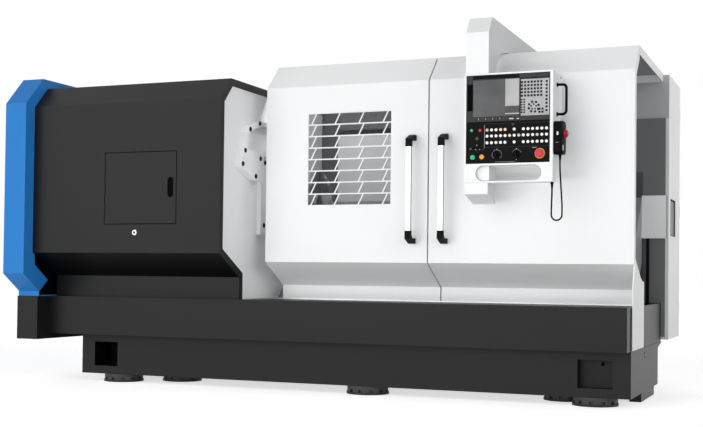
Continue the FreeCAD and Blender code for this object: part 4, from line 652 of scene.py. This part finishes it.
def make_finishes(paint):
    white, dark, blue, grey = tuple(paint.white), tuple(paint.dark), tuple(paint.blue), tuple(paint.grey)
    light, casting = tuple(paint.light_grey), tuple(paint.casting)
    # A white for painted light, and a near black for painted shade.
    anywhere, painted_light_white, painted_shade_black = (None, None, None), (0.96, 0.965, 0.97), shade(3, 3, 3)
    # Painted light on faces that slope down or up on the doors and on the right door's end plate, and painted
    # shade on the roof's underside.
    painted_light_and_shade = [(anywhere, anywhere, facing, scaled(white, 1.15)) for facing in ((0, 0, -0.9), (0, -0.2, 0.9))]
    painted_light_and_shade += [((1400, None, None), anywhere, TO_RIGHT, painted_light_white),
              ((1300, None, 1500), anywhere, DOWN, shade(158, 159, 160))]
    FINISHES.update({
        "white": powder_coat("white_powder_coat", white, 0.55, 0.3, 0.012, patches=painted_light_and_shade),
        # The arm's right side carries painted shade.
        "arm": powder_coat("arm_powder_coat", white, 0.55, 0.3, 0.012, patches=[
            (anywhere, anywhere, TO_RIGHT, scaled(white, 0.8))]),
        "dark": powder_coat("dark_powder_coat", dark, 0.42, 0.2, 0.08, patches=[
            # Painted shade: a dark line along the access door's edge, where the gap falls.
            ((-1124, None, 897), (-670, None, 1289), None, painted_shade_black),
            ((-1121, None, 900), (-673, None, 1286), None, dark)]),
        "cover": powder_coat("cover_powder_coat", dark, 0.42, 0.2, 0.08, patches=[
            # Painted shade on the sloping band, on the rim of the door's opening, and on the right edge.
            ((None, None, 612), (None, -680, 736), None, shade(4, 4, 5)),
            ((-1129, None, 892), (-665, -890, 1294), None, painted_shade_black),
            ((-440, None, None), anywhere, TO_RIGHT, painted_shade_black)]),
        "blue": powder_coat("blue_powder_coat", blue, 0.55, 0.25, 0.03, patches=[
            # Painted shade on the side of the fold that faces the dark cover.
            (anywhere, (-1612, None, None), TO_RIGHT, shade(8, 14, 24))]),
        "grey": powder_coat("base_paint", grey, 0.42, 0.2, 0.07, patches=[
            # Painted shade on the insides of the two pockets.
            ((-1356, -640, 88), (-1199, -460, 231), None, shade(5, 5, 6)),
            ((1449, -641, 88), (1623, -575, 231), None, shade(14, 14, 15))]),
        "light_grey": powder_coat("cabinet_paint", light, 0.5, 0.3, 0.02, patches=[
            # The latch plates beside the doors' split.
            ((600, 978.5, 900), (850, None, 1200), None, shade(14, 14, 15))]),
        "cabinet": powder_coat("cabinet_shell_paint", light, 0.5, 0.3, 0.02, patches=[
            # Painted light on the right side, and painted shade on the strip of the front over the rear wall.
            (anywhere, anywhere, TO_RIGHT, painted_light_white),
            ((None, None, 1546), (None, 470, None), TO_FRONT, shade(176, 177, 178)),
            ((None, None, 1546), (900, 470, None), TO_FRONT, shade(96, 97, 98))]),
        # The side box's right side carries painted shade.
        "side_box": powder_coat("side_box_paint", scaled(light, 1.22), 0.5, 0.3, 0.02, patches=[
            (anywhere, anywhere, TO_RIGHT, shade(120, 121, 122))]),
        "inside": powder_coat("inner_wall_paint", shade(112, 113, 114), 0.6, 0.2, 0.06, patches=[
            # The pale sheet behind the window, and painted shade on the bare wall on either side of it.
            ((-300, None, None), (1200, None, 1512), TO_FRONT, shade(220, 221, 222)),
            (anywhere, (-300, None, None), TO_FRONT, shade(76, 77, 78)),
            ((1500, None, None), (1602, None, 1240), TO_FRONT, shade(78, 79, 80))]),
        "casting": cast_paint("casting_paint", casting),
        "rail": ground_steel("ground_rail_steel", (0.58, 0.59, 0.6), 0.3, (0.05, 1.0, 1.0)),
        "turned": ground_steel("turned_steel", (0.6, 0.61, 0.62), 0.28, (1.0, 0.08, 0.08)),
        "hard": ground_steel("blackened_steel", (0.16, 0.165, 0.17), 0.42, (1.0, 1.0, 1.0)),
        "chrome": ground_steel("lock_chrome", (0.7, 0.71, 0.72), 0.18, (1.0, 1.0, 1.0)),
        "bolt": ground_steel("oiled_black_bolts", (0.012, 0.012, 0.013), 0.5, (1.0, 1.0, 1.0)),
        "mount": split_by_height("rubber_and_steel_mount", shade(5, 5, 6), shade(44, 45, 46),
                                 0.0125, 0.0004, 0.5),
        # The bars' right faces carry painted shade.
        "handle": ground_steel("satin_anodised_bar", (0.86, 0.87, 0.88), 0.5, (1.0, 1.0, 0.05), [
            (anywhere, anywhere, TO_RIGHT, shade(150, 151, 152))]),
        "cap": moulded("handle_end_caps", shade(8, 8, 9), 0.55, 0.08),
        "black": moulded("black_moulding", shade(5, 5, 6), 0.55, 0.07),
        "cable": moulded("cable_jacket", shade(3, 3, 4), 0.6, 0.04),
        "panel": moulded("panel_film", shade(8, 8, 9), 0.55, 0.08, 0.05, 0.00006),
        "bezel": moulded("display_housing", shade(52, 53, 54), 0.5, 0.15, 0.05, 0.00008),
        "key_bed": moulded("keypad_film", shade(172, 173, 175), 0.5, 0.2, 0.12, 0.00005),
        "key_light": moulded("letter_keys", shade(176, 178, 181), 0.5, 0.3, 0.03, 0.00005),
        "key_dark": moulded("key_marks", shade(12, 12, 13), 0.5, 0.15, 0.03, 0.00005),
        "keys": key_finish("round_keys"),
        "line": moulded("printed_lines", shade(168, 168, 166), 0.6, 0.2, 0.02, 0.00003),
        "dim_red": moulded("dim_red_marks", shade(150, 62, 66), 0.5, 0.2, 0.03, 0.00003),
        "hole_rim": moulded("hole_trim", shade(70, 70, 71), 0.6, 0.15, 0.03, 0.00005),
        "mark": moulded("white_marks", shade(226, 226, 224), 0.6, 0.2, 0.02, 0.00003),
        "cream": moulded("cream_plate", shade(226, 214, 196), 0.6, 0.2, 0.03, 0.00003),
        "slot_black": moulded("deep_black", shade(4, 4, 4), 0.7, 0.04, 0.03, 0.00005),
        "red": moulded("red_moulding", shade(200, 46, 66), 0.42, 0.3, 0.03, 0.00004),
        "deep_red": moulded("deep_red_moulding", shade(150, 22, 44), 0.4, 0.3, 0.03, 0.00004),
        "yellow": moulded("yellow_moulding", shade(216, 152, 40), 0.42, 0.4, 0.03, 0.00004),
        "green": moulded("green_moulding", shade(22, 176, 124), 0.42, 0.4, 0.03, 0.00004),
        "olive": moulded("dim_lamp", shade(62, 64, 32), 0.4, 0.4, 0.05, 0.00004),
        "screen": screen_glass("dark_display"),
        "glass": window_pane("tinted_window"),
    })


NODE_FINISH = {
    "white": ("headstock_end_panel", "chuck_side_guard", "left_door", "right_door", "left_window_guard",
              "roof_panel", "pendant_housing"),
    "arm": ("pendant_arm",),
    "handle": ("left_handle_bar", "right_handle_bar"),
    "dark": ("access_door", "end_cover_foot", "spindle_motor"),
    "cover": ("headstock_cover",),
    "blue": ("end_cover",),
    "grey": ("bed_base", "front_beam", "coolant_tray"),
    "inside": ("rear_wall",),
    "light_grey": ("cabinet_door_left", "cabinet_door_right"),
    "cabinet": ("rear_cabinet",),
    "side_box": ("side_box",),
    "casting": ("slant_bed", "headstock_casting", "carriage_saddle", "cross_slide", "tailstock_body"),
    "rail": ("guide_rails", "door_rails"),
    "turned": ("spindle", "chuck_body", "turret_disc", "tailstock_quill"),
    "hard": ("chuck_cylinder", "chuck_jaw_1", "chuck_jaw_2", "chuck_jaw_3", "tool_holders"),
    "chrome": ("cover_lock",),
    "mount": ("leveling_mounts",),
    "cap": ("left_handle_caps", "right_handle_caps"),
    "black": ("drain_pipe", "feed_override_knob", "rapid_override_knob", "pendant_handle",
              "handwheel_unit"),
    "panel": ("control_panel",),
    "screen": ("display_screen",),
    "glass": ("left_door_glass",),
    "keys": ("key_caps",),
    "red": ("estop_button", "power_off_button"),
    "deep_red": ("handwheel_dial",),
    "yellow": ("estop_ring", "feed_hold_button"),
    "green": ("power_on_button", "cycle_start_button"),
    "cable": ("handwheel_cable",),
}


# ------------------------------------------------------------------ operators

class LATHE_OT_camera(bpy.types.Operator):
    """Set the camera where the photographer stood"""
    bl_idname = "lathe.camera"
    bl_label = "Camera"

    def execute(self, context):
        lens = bpy.data.cameras.new("photo_camera")
        lens.sensor_width, lens.lens = CAMERA_LENS
        lens.shift_x, lens.shift_y = CAMERA_SHIFT
        lens.clip_end = 200
        yaw, pitch, roll = (math.radians(angle) for angle in CAMERA_TURN)
        ahead = Vector((-math.sin(yaw) * math.cos(pitch), math.cos(yaw) * math.cos(pitch), math.sin(pitch)))
        level = Vector((math.cos(yaw), math.sin(yaw), 0))
        upright = level.cross(ahead)
        right = level * math.cos(roll) + upright * math.sin(roll)
        up = upright * math.cos(roll) - level * math.sin(roll)
        camera = bpy.data.objects.new("photo_camera", lens)
        context.scene.collection.objects.link(camera)
        turn = Matrix((right, up, -ahead)).transposed().to_4x4()
        camera.matrix_world = Matrix.Translation(CAMERA_PLACE) @ turn
        context.scene.camera = camera
        return {"FINISHED"}


class LATHE_OT_finishes(bpy.types.Operator):
    """Make the finishes and give each part of the model its own"""
    bl_idname = "lathe.finishes"
    bl_label = "Finishes"

    def execute(self, context):
        make_finishes(context.scene.lathe_paint)
        painted = set()
        for word, nodes in NODE_FINISH.items():
            for name in nodes:
                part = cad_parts[name]
                if not part.material_slots:
                    part.data.materials.append(FINISHES[word])
                for slot in part.material_slots:
                    slot.material = FINISHES[word]
                painted.add(name)
        missing = set(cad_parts) - painted
        if missing:
            raise RuntimeError(f"no finish for {sorted(missing)}")
        return {"FINISHED"}


CABLE_POINTS = [
    (1385, 1226), (1385, 1156), (1389.5, 1082), (1394, 1022), (1396.5, 982), (1396.8, 945),
    (1396.3, 921), (1381.5, 906.5), (1359.8, 906), (1344.8, 921.5), (1344.2, 946), (1345.6, 984),
    (1347, 1038), (1347, 1092),
]
CABLE_Y = -773
CABLE_RADIUS = 4
SLEEVES = (("upper_cable_sleeve", 1385, 1226), ("lower_cable_sleeve", 1347, 1092))
SLEEVE_RIBS = 5


class LATHE_OT_handwheel_cable(bpy.types.Operator):
    """Hang the handwheel's cable between the two sleeves that hold its ends"""
    bl_idname = "lathe.handwheel_cable"
    bl_label = "Handwheel cable"

    def execute(self, context):
        curve = bpy.data.curves.new("hand_unit_cable", "CURVE")
        curve.dimensions = "3D"
        spline = curve.splines.new("NURBS")
        spline.points.add(len(CABLE_POINTS) - 1)
        for point, (x, z) in zip(spline.points, CABLE_POINTS):
            point.co = (x * MM, CABLE_Y * MM, z * MM, 1)
        spline.order_u = 3
        spline.use_endpoint_u = True
        spline.resolution_u = 10
        curve.bevel_depth = CABLE_RADIUS * MM
        curve.bevel_resolution = 5
        curve.use_fill_caps = True
        curve.materials.append(FINISHES["cable"])
        cable = bpy.data.objects.new("hand_unit_cable", curve)
        context.scene.collection.objects.link(cable)
        profile = [(0, 8.5), (4, 8.5)]
        for i in range(SLEEVE_RIBS):
            along, radius = 5 + 5 * i, 7.6 - 0.6 * i
            profile += [(along, radius), (along + 3, radius - 0.2), (along + 3.5, radius - 1.1)]
        profile += [(30, 4.3)]
        sleeves = [settle_turned(name, "black", "pendant", DOWN, profile,
                                 [(x, CABLE_Y, z)], 24) for name, x, z in SLEEVES]
        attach(cable, "pendant")
        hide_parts("handwheel_cable")
        return {"FINISHED"}


GUARD_BOLTS = [(-367, -519, 1473), (-367, -634, 1428), (-367, -690, 1306), (-367, -716, 1230),
               (-367, -560, 1174), (-367, -505, 1277), (-384, -415, 1263), (-384, -420, 906)]
KICK_PLATE = [(-673, 492), (-673, 604), (-668, 608), (-320, 608), (-320, 492)]


class LATHE_OT_guard_bolts(bpy.types.Operator):
    """Bolt the chuck guard and its leg to the end panel, over the panel's kick plate"""
    bl_idname = "lathe.guard_bolts"
    bl_label = "Guard bolts"

    def execute(self, context):
        sizes = context.scene.lathe_fixings
        grow("guard_bolts", "bolts", {
            "Sides": 6, "Head radius": sizes.bolt_radius, "Head height": sizes.bolt_height,
            "Washer radius": sizes.bolt_radius * 1.12, "Washer height": 0.001, "Turn": FACING_RIGHT},
            "bolt", "machine_frame", GUARD_BOLTS)
        settle_plates("end_panel_kick_plate", "white", "machine_frame", "white_paint",
                      (KICK_PLATE, "X", -408, 2.5))
        return {"FINISHED"}


class LATHE_OT_display(bpy.types.Operator):
    """Fit the display housing, its card slot and the keypad"""
    bl_idname = "lathe.display"
    bl_label = "Display and keypad"

    def execute(self, context):
        front = PANEL_Y
        settle_rim("display_frame", "bezel", "pendant",
                   box_outline(924, 1393, 1341, 1622), box_outline(953, 1415.5, 1339.5, 1600.5),
                   "Y", front - 0.8, 0.8)
        settle_blocks("display_post", "bezel", "pendant", "panel_black",
                      ((1191.5, front - 0.8, 1415.5), (1196, front, 1600.5), 0.2))
        settle_blocks("display_brow", "panel", "pendant", "panel_black",
                      ((956, front - 1.3, 1603), (1191, front - 0.6, 1620.5), 0.3))
        settle_blocks("card_flap", "slot_black", "pendant", "black_plastic",
                      ((928.5, front - 1.9, 1447), (956.5, front - 0.5, 1580), 0.8),
                      ((930.5, front - 2.6, 1452), (933.5, front - 1.5, 1575), 0.4))
        for name, finish, x, slot in (("soft_key_marks", "key_light", 986, "key_white"),
                                      ("soft_key_red_marks", "dim_red", 1004, "red_plastic")):
            grow(name, "row", {"Count": 4, "Step": metres(36, 0, 0), "Slat size": metres(2.6, 0.5, 8),
                               "Place": metres(x, front - 1.0, 1406)}, finish, "pendant")
        settle_blocks("display_marks", "mark", "pendant", "key_white",
                      ((1142, front - 1.3, 1401), (1162, front - 0.7, 1405.5), 0.2),
                      ((1179.5, front - 1.3, 1400), (1189.5, front - 0.7, 1404), 0.2))
        self.keypad(context.scene.lathe_panel, front)
        return {"FINISHED"}

    def keypad(self, panel, front):
        """Dark letter keys, side keys and a round group of cursor keys on a light film."""
        settle_blocks("keypad_sheet", "key_bed", "pendant", "key_white",
                      ((1198, front + 0.3, 1414), (1338, front + 1.5, 1594), 0.2))
        groups = {  # columns, rows, the pitch across and up, the middle in X and Z, and the key's width
            "letter_keys": (panel.key_columns, panel.key_rows, 15.9, 16.6, 1251, 1546, 10.2),
            "side_keys": (1, 9, 15.9, 17.6, 1325, 1508, 10.2),
            "function_keys": (2, 6, 13.0, 12.4, 1209, 1463, 8.0),
            "corner_keys": (2, 2, 15.0, 15.0, 1298, 1438, 10.2),
        }
        for name, (columns, rows, across, up, x, z, wide) in groups.items():
            size = {"Turn": FACING_FRONT, "Columns": columns, "Rows": rows, "Across": across * MM,
                    "Up": up * MM}
            grow(name, "keypad", {**size, "Key shape": metres(wide, wide, 2.4),
                                  "Place": metres(x, front + 0.2, z)},
                 "key_dark", "pendant")
            grow(name + "_marks", "keypad", {**size, "Key shape": metres(3.4, 3.0, 0.5),
                                             "Place": metres(x + 1.5, front - 1.05, z + 1.5)},
                 "key_light", "pendant")
        for name, count, radius, mark in (("cursor_ring", 8, 25, 6.0), ("cursor_inner_ring", 5, 12.5, 4.2)):
            grow(name, "ring", {
                "Count": count, "Ring radius": radius * MM, "Start": 0.3, "Step": 2 * math.pi / count,
                "Sides": 16, "Mark radius": mark * MM, "Mark height": 0.0014, "Turn": FACING_FRONT,
                "Place": metres(1262, front + 0.4, 1457)}, "key_dark", "pendant")


class LATHE_OT_panel_marks(bpy.types.Operator):
    """Fit the lamps, key switch, knob scales and the line round the round keys"""
    bl_idname = "lathe.panel_marks"
    bl_label = "Lamps and scales"

    def execute(self, context):
        panel = context.scene.lathe_panel
        front = PANEL_Y
        settle_rim("key_field_line", "bezel", "pendant",
                   box_outline(1019, 1265, 1340, 1382), box_outline(1020, 1266, 1339, 1381),
                   "Y", front - 0.4, 0.4)
        lines = ((1015.8, 1262, 1017.4, 1377), (1070, 1192.4, 1172, 1193.6),
                 (1256, 1257.2, 1279, 1259.8), (941, 1259.4, 952, 1261.4))
        settle_blocks("field_marks", "line", "pendant", "key_white",
                      *(((left, front - 0.6, low), (right, front, high)) for left, low, right, high in lines))
        for name, x, sweep in (("feed", 1080, 1.0), ("rapid", 1179, 0.5)):
            count = max(3, round(panel.tick_count * sweep))
            step = 5.0 / panel.tick_count
            grow(name + "_scale", "ring", {
                "Count": count, "Ring radius": 0.0235, "Start": math.pi / 2 - step * (count - 1) / 2,
                "Step": step, "Sides": 4, "Mark radius": 0.00071, "Mark height": 0.0005,
                "Mark shape": (panel.tick_length * 1000, 0.9, 1.0), "Turn": FACING_FRONT,
                "Place": metres(x, front, 1229)}, "mark", "pendant")
        lamps = {
            "lamp_red": ("red", [(1011, 1255.5)], 1.8, "red_plastic"),
            "lamp_white": ("mark", [(974, 1256.6), (993, 1256), (1080, 1255.5), (1179, 1255.5),
                                    (1178, 1202)], 1.7, "key_white"),
            "lamp_olive": ("olive", [(979, 1310)], 7.5, "yellow_plastic"),
            "indicator": ("bezel", [(1160, 1374)], 6.5, "panel_black"),
        }
        for name, (finish, places, radius, slot) in lamps.items():
            settle_turned(name, finish, "pendant", TO_FRONT,
                          [(0, radius), (1.0, radius), (1.6, radius * 0.7), (1.8, 0)],
                          [(x, front + 0.2, z) for x, z in places], 20)
        x, z = KEY_SWITCH
        settle_turned("key_switch_collar", "black", "pendant", TO_FRONT,
                      [(0, 9), (3, 9), (4, 8), (4, 4), (1.5, 4), (1.5, 0)], [(x, front + 0.2, z)])
        settle_turned("key_switch_barrel", "hard", "pendant", TO_FRONT,
                      [(0, 3.8), (2.2, 3.6), (2.4, 0)], [(x, front - 1.3, z)])
        return {"FINISHED"}


class LATHE_OT_pendant_fittings(bpy.types.Operator):
    """Fit the handle feet, blank plates and the marks on the handwheel unit"""
    bl_idname = "lathe.pendant_fittings"
    bl_label = "Pendant fittings"

    def execute(self, context):
        front = PANEL_Y
        settle_turned("grip_feet", "black", "pendant", TO_RIGHT,
                      [(0, 11.5), (2.5, 11.5), (4, 10), (4, 6.6), (9, 6.6)],
                      [(1357, -725, z) for z in (1426.5, 1571.5)], 28)
        settle_blocks("blank_plates", "white", "pendant", "white_paint",
                      *(((left, front - 2, 1107), (right, front - 0.5, 1162), 0.4)
                        for left, right in ((931, 968), (1304, 1338))))
        settle_rim("hand_hole_trim", "hole_rim", "pendant",
                   slot_outline(*HAND_HOLE, 38.2), slot_outline(*HAND_HOLE, 36.7), "Y", front, 3)
        settle_turned("pendant_side_screw", "bolt", "pendant", TO_RIGHT,
                      [(0, 5), (1.6, 4.6), (2.2, 3), (2.2, 0)], [(1357, -640, 1619)], 20)
        settle_blocks("hand_unit_seams", "slot_black", "pendant", "black_plastic",
                      ((1361, -794, 1233), (1400.5, -726, 1236), 1),
                      ((1359, -801.2, 1292), (1400, -799.5, 1293.6), 0.4))
        form = bmesh.new()
        add_block(form, (1374, -800.8, 1317), (1382, -799.6, 1333), 0.2)
        for x in (1372, 1380):
            add_turned(form, (x, -799.8, 1281), TO_FRONT, [(0, 1.7), (0.8, 1.5), (1, 0)], 16)
        settle("hand_unit_marks", form, "mark", "pendant")
        settle_blocks("hand_unit_plate", "cream", "pendant", "key_white",
                      ((1401.6, -794, 1243), (1402.6, -776, 1268), 0.2))
        return {"FINISHED"}


class LATHE_OT_cover_fittings(bpy.types.Operator):
    """Line the access door's finger slot, seal the door and face its lock"""
    bl_idname = "lathe.cover_fittings"
    bl_label = "Cover fittings"

    def execute(self, context):
        settle_plates("finger_slot_cup", "slot_black", "access_door", "black_plastic",
                      (slot_outline((-706, 1058), (-706, 1131), 21.5), "Y", -902, 4))
        settle_rim("access_gasket", "slot_black", "machine_frame",
                   box_outline(-1139, 882, -655, 1304), box_outline(-1113, 908, -681, 1278), "Y", -901.8, 2)
        x, z = COVER_LOCK
        form = bmesh.new()
        add_ring(form, (x, -907.1, z), TO_FRONT, 13.3, 14.4, 1.6)
        settle("lock_escutcheon", form, "chrome", "machine_frame")
        settle_blocks("lock_face", "slot_black", "cover_lock", "black_plastic",
                      *(((x + left, -915.9, z - 7), (x + right, -914.8, z + 7), 0.3)
                        for left, right in ((-8, -1.2), (1.2, 8))))
        return {"FINISHED"}


class LATHE_OT_base_fittings(bpy.types.Operator):
    """Mark the tapped holes and the keyhole of the base with black shapes of painted shade"""
    bl_idname = "lathe.base_fittings"
    bl_label = "Base fittings"

    def execute(self, context):
        # Black slots of painted shade stand in for the tapped holes in the base's end.
        settle_plates("base_end_holes", "slot_black", "machine_frame", "black_plastic",
                      *((slot_outline((-208, z), (-191, z), 6.5), "X", 1708.6, 0.6) for z in (224, 247)))
        # A black disc and bar of painted shade stand in for the keyhole in the pocket.
        form = bmesh.new()
        add_turned(form, (1564, -582.5, 206), TO_FRONT, [(0, 9), (0.8, 9), (0.8, 0)], 24)
        add_block(form, (1560.5, -583.4, 206), (1567.5, -582.4, 221))
        settle("pocket_keyhole", form, "slot_black", "machine_frame")
        return {"FINISHED"}


class LATHE_OT_cabinet_fittings(bpy.types.Operator):
    """Frame the cabinet's window, lay a black strip of painted shade along the rear wall's top, and give the
    doors louvres and swing handles
    """
    bl_idname = "lathe.cabinet_fittings"
    bl_label = "Cabinet fittings"

    def execute(self, context):
        edge = box_outline(531, 877, 770, 1091)
        settle_rim("cabinet_window_frame", "white", "machine_frame",
                   box_outline(524, 870, 777, 1098), edge, "X", 1740.8, 3)
        # A black rim inside the white frame.
        settle_rim("cabinet_window_seal", "slot_black", "machine_frame",
                   edge, box_outline(535, 881, 766, 1084), "X", 1737.8, 3)
        # A black strip of painted shade along the gap at the top of the rear wall.
        settle_blocks("rear_wall_seal", "slot_black", "machine_frame", "black_plastic",
                      ((-298, 444.9, 1512), (900, 446.2, 1547), 0.4))
        for side, centre, handle in (("left", 214, 672), ("right", 1230, 772)):
            body = f"cabinet_door_{side}"
            for place, z in (("low", 420), ("high", 1520)):
                settle_blocks(f"{side}_{place}_louvre_mesh", "slot_black", body, "black_plastic",
                              ((centre - 151, 977, z - 8), (centre + 151, 978.4, z + 152), 0.4))
                grow(f"{side}_{place}_louvres", "row", {
                    "Count": 10, "Step": metres(0, 0, 16), "Slat size": metres(300, 6, 9),
                    "Lean": (0.6, 0, 0), "Place": metres(centre, 979, z)},
                    "light_grey", body)
            settle_blocks(f"{side}_swing_handle", "black", body, "black_plastic",
                          ((handle - 9, 978.5, 990), (handle + 9, 984.9, 1100), 2.5))
        return {"FINISHED"}


def seen_directly(tree):
    """1 for a ray from the camera, off a shiny surface or through glass, and 0 for any other."""
    path = tree.nodes.new("ShaderNodeLightPath").outputs
    either = add_node(tree, "ShaderNodeMath", {0: path["Is Camera Ray"], 1: path["Is Glossy Ray"]},
                      operation="MAXIMUM")
    return add_node(tree, "ShaderNodeMath", {0: either.outputs[0], 1: path["Is Transmission Ray"]},
                    operation="MAXIMUM").outputs[0]


# Each sun: its name, its setting, and where its light comes from.
SUNS = (("soft_key", "key", (-0.40, -0.80, 0.44)), ("soft_front", "front", (-0.35, -0.93, 0.04)),
        ("soft_fill", "fill", (0.85, -0.45, 0.25)), ("soft_back", "back", (-0.25, 0.96, 0.12)))
# Each flat lamp: its name, its setting, its sides and place in metres, and where its light comes from.
FLAT_LAMPS = (("low_strip", "strip", (7.5, 0.6), (0.5, -4.7, 0.32), (0, -1.0, -0.1)),
              ("machine_lamp", "inside", (1.2, 0.08), (-0.1, -0.3, 1.72), (0, -0.8, 0.6)))
FLOOR_REACH = 60
FLOOR_COLOUR = (0.92, 0.92, 0.92, 1)


class LATHE_OT_stage(bpy.types.Operator):
    """Lay the white floor and light it softly"""
    bl_idname = "lathe.stage"
    bl_label = "Stage"

    def execute(self, context):
        light = context.scene.lathe_stage
        self.lay_floor(context.scene, light)
        self.light_world(context.scene, light)
        for name, setting, direction in SUNS:
            sun = bpy.data.lights.new(name, "SUN")
            sun.energy = getattr(light, setting)
            sun.angle = light.lamp_spread
            self.hang(context.scene, sun, (0, 0, 0), direction)
        for name, setting, sides, place, direction in FLAT_LAMPS:
            flat = bpy.data.lights.new(name, "AREA")
            flat.shape = "RECTANGLE"
            flat.size, flat.size_y = sides
            flat.energy = getattr(light, setting)
            lamp = self.hang(context.scene, flat, place, direction)
            lamp.visible_camera = False
            lamp.visible_glossy = False
        context.scene.view_settings.view_transform = "Standard"
        return {"FINISHED"}

    def lay_floor(self, scene, light):
        """A matt white floor that is lifted to white wherever it is seen directly."""
        mesh = bpy.data.meshes.new("studio_floor")
        corners = [(x * FLOOR_REACH, y * FLOOR_REACH, 0) for x, y in ((-1, -1), (1, -1), (1, 1), (-1, 1))]
        mesh.from_pydata(corners, [], [(0, 1, 2, 3)])
        floor = bpy.data.objects.new("studio_floor", mesh)
        scene.collection.objects.link(floor)
        material = bpy.data.materials.new("white_floor")
        material.use_nodes = True
        tree = material.node_tree
        tree.nodes.clear()
        matt = add_node(tree, "ShaderNodeBsdfDiffuse", {"Color": FLOOR_COLOUR})
        lift = add_node(tree, "ShaderNodeMath", {0: seen_directly(tree), 1: light.floor_glow},
                        operation="MULTIPLY")
        glow = add_node(tree, "ShaderNodeEmission", {"Strength": lift.outputs[0]})
        both = add_node(tree, "ShaderNodeAddShader", {0: matt.outputs[0], 1: glow.outputs[0]})
        end = tree.nodes.new("ShaderNodeOutputMaterial")
        tree.links.new(both.outputs[0], end.inputs["Surface"])
        mesh.materials.append(material)

    def light_world(self, scene, light):
        """An even sky that is plain white wherever it is seen directly, in metal or through glass."""
        world = bpy.data.worlds.new("studio_sky")
        scene.world = world
        world.use_nodes = True
        tree = world.node_tree
        tree.nodes.clear()
        strength = add_node(tree, "ShaderNodeMapRange", {"Value": seen_directly(tree), "To Min": light.sky,
                                                         "To Max": 1.0})
        sky = add_node(tree, "ShaderNodeBackground", {"Color": (1, 1, 1, 1), "Strength": strength.outputs[0]})
        end = tree.nodes.new("ShaderNodeOutputWorld")
        tree.links.new(sky.outputs[0], end.inputs["Surface"])

    def hang(self, scene, light, place, towards):
        """Put a lamp there, with its light coming from that direction."""
        lamp = bpy.data.objects.new(light.name, light)
        turn = Vector(towards).to_track_quat("Z", "Y").to_matrix().to_4x4()
        lamp.matrix_world = Matrix.Translation(place) @ turn
        scene.collection.objects.link(lamp)
        return lamp


STEPS = (LATHE_OT_camera, LATHE_OT_finishes, LATHE_OT_handwheel_cable, LATHE_OT_guard_bolts,
         LATHE_OT_display, LATHE_OT_panel_marks, LATHE_OT_pendant_fittings, LATHE_OT_cover_fittings,
         LATHE_OT_base_fittings, LATHE_OT_cabinet_fittings, LATHE_OT_stage)


class LATHE_PT_sidebar(bpy.types.Panel):
    """The lathe's settings and steps."""
    bl_idname = "LATHE_PT_sidebar"
    bl_label = "Turning lathe"
    bl_space_type = "VIEW_3D"
    bl_region_type = "UI"
    bl_category = "Lathe"

    def draw(self, context):
        for word, group in SETTINGS.items():
            box = self.layout.box()
            for name in group.__annotations__:
                box.prop(getattr(context.scene, word), name)
        for step in STEPS:
            self.layout.operator(step.bl_idname)


def register():
    for group in (*SETTINGS.values(), *STEPS, LATHE_PT_sidebar):
        bpy.utils.register_class(group)
    for word, group in SETTINGS.items():
        setattr(bpy.types.Scene, word, PointerProperty(type=group))


def unregister():
    for word in SETTINGS:
        delattr(bpy.types.Scene, word)
    for group in reversed((*SETTINGS.values(), *STEPS, LATHE_PT_sidebar)):
        bpy.utils.unregister_class(group)


def main():
    register()
    for step in STEPS:
        family, name = step.bl_idname.split(".")
        getattr(getattr(bpy.ops, family), name)()


if __name__ == "__main__":
    main()
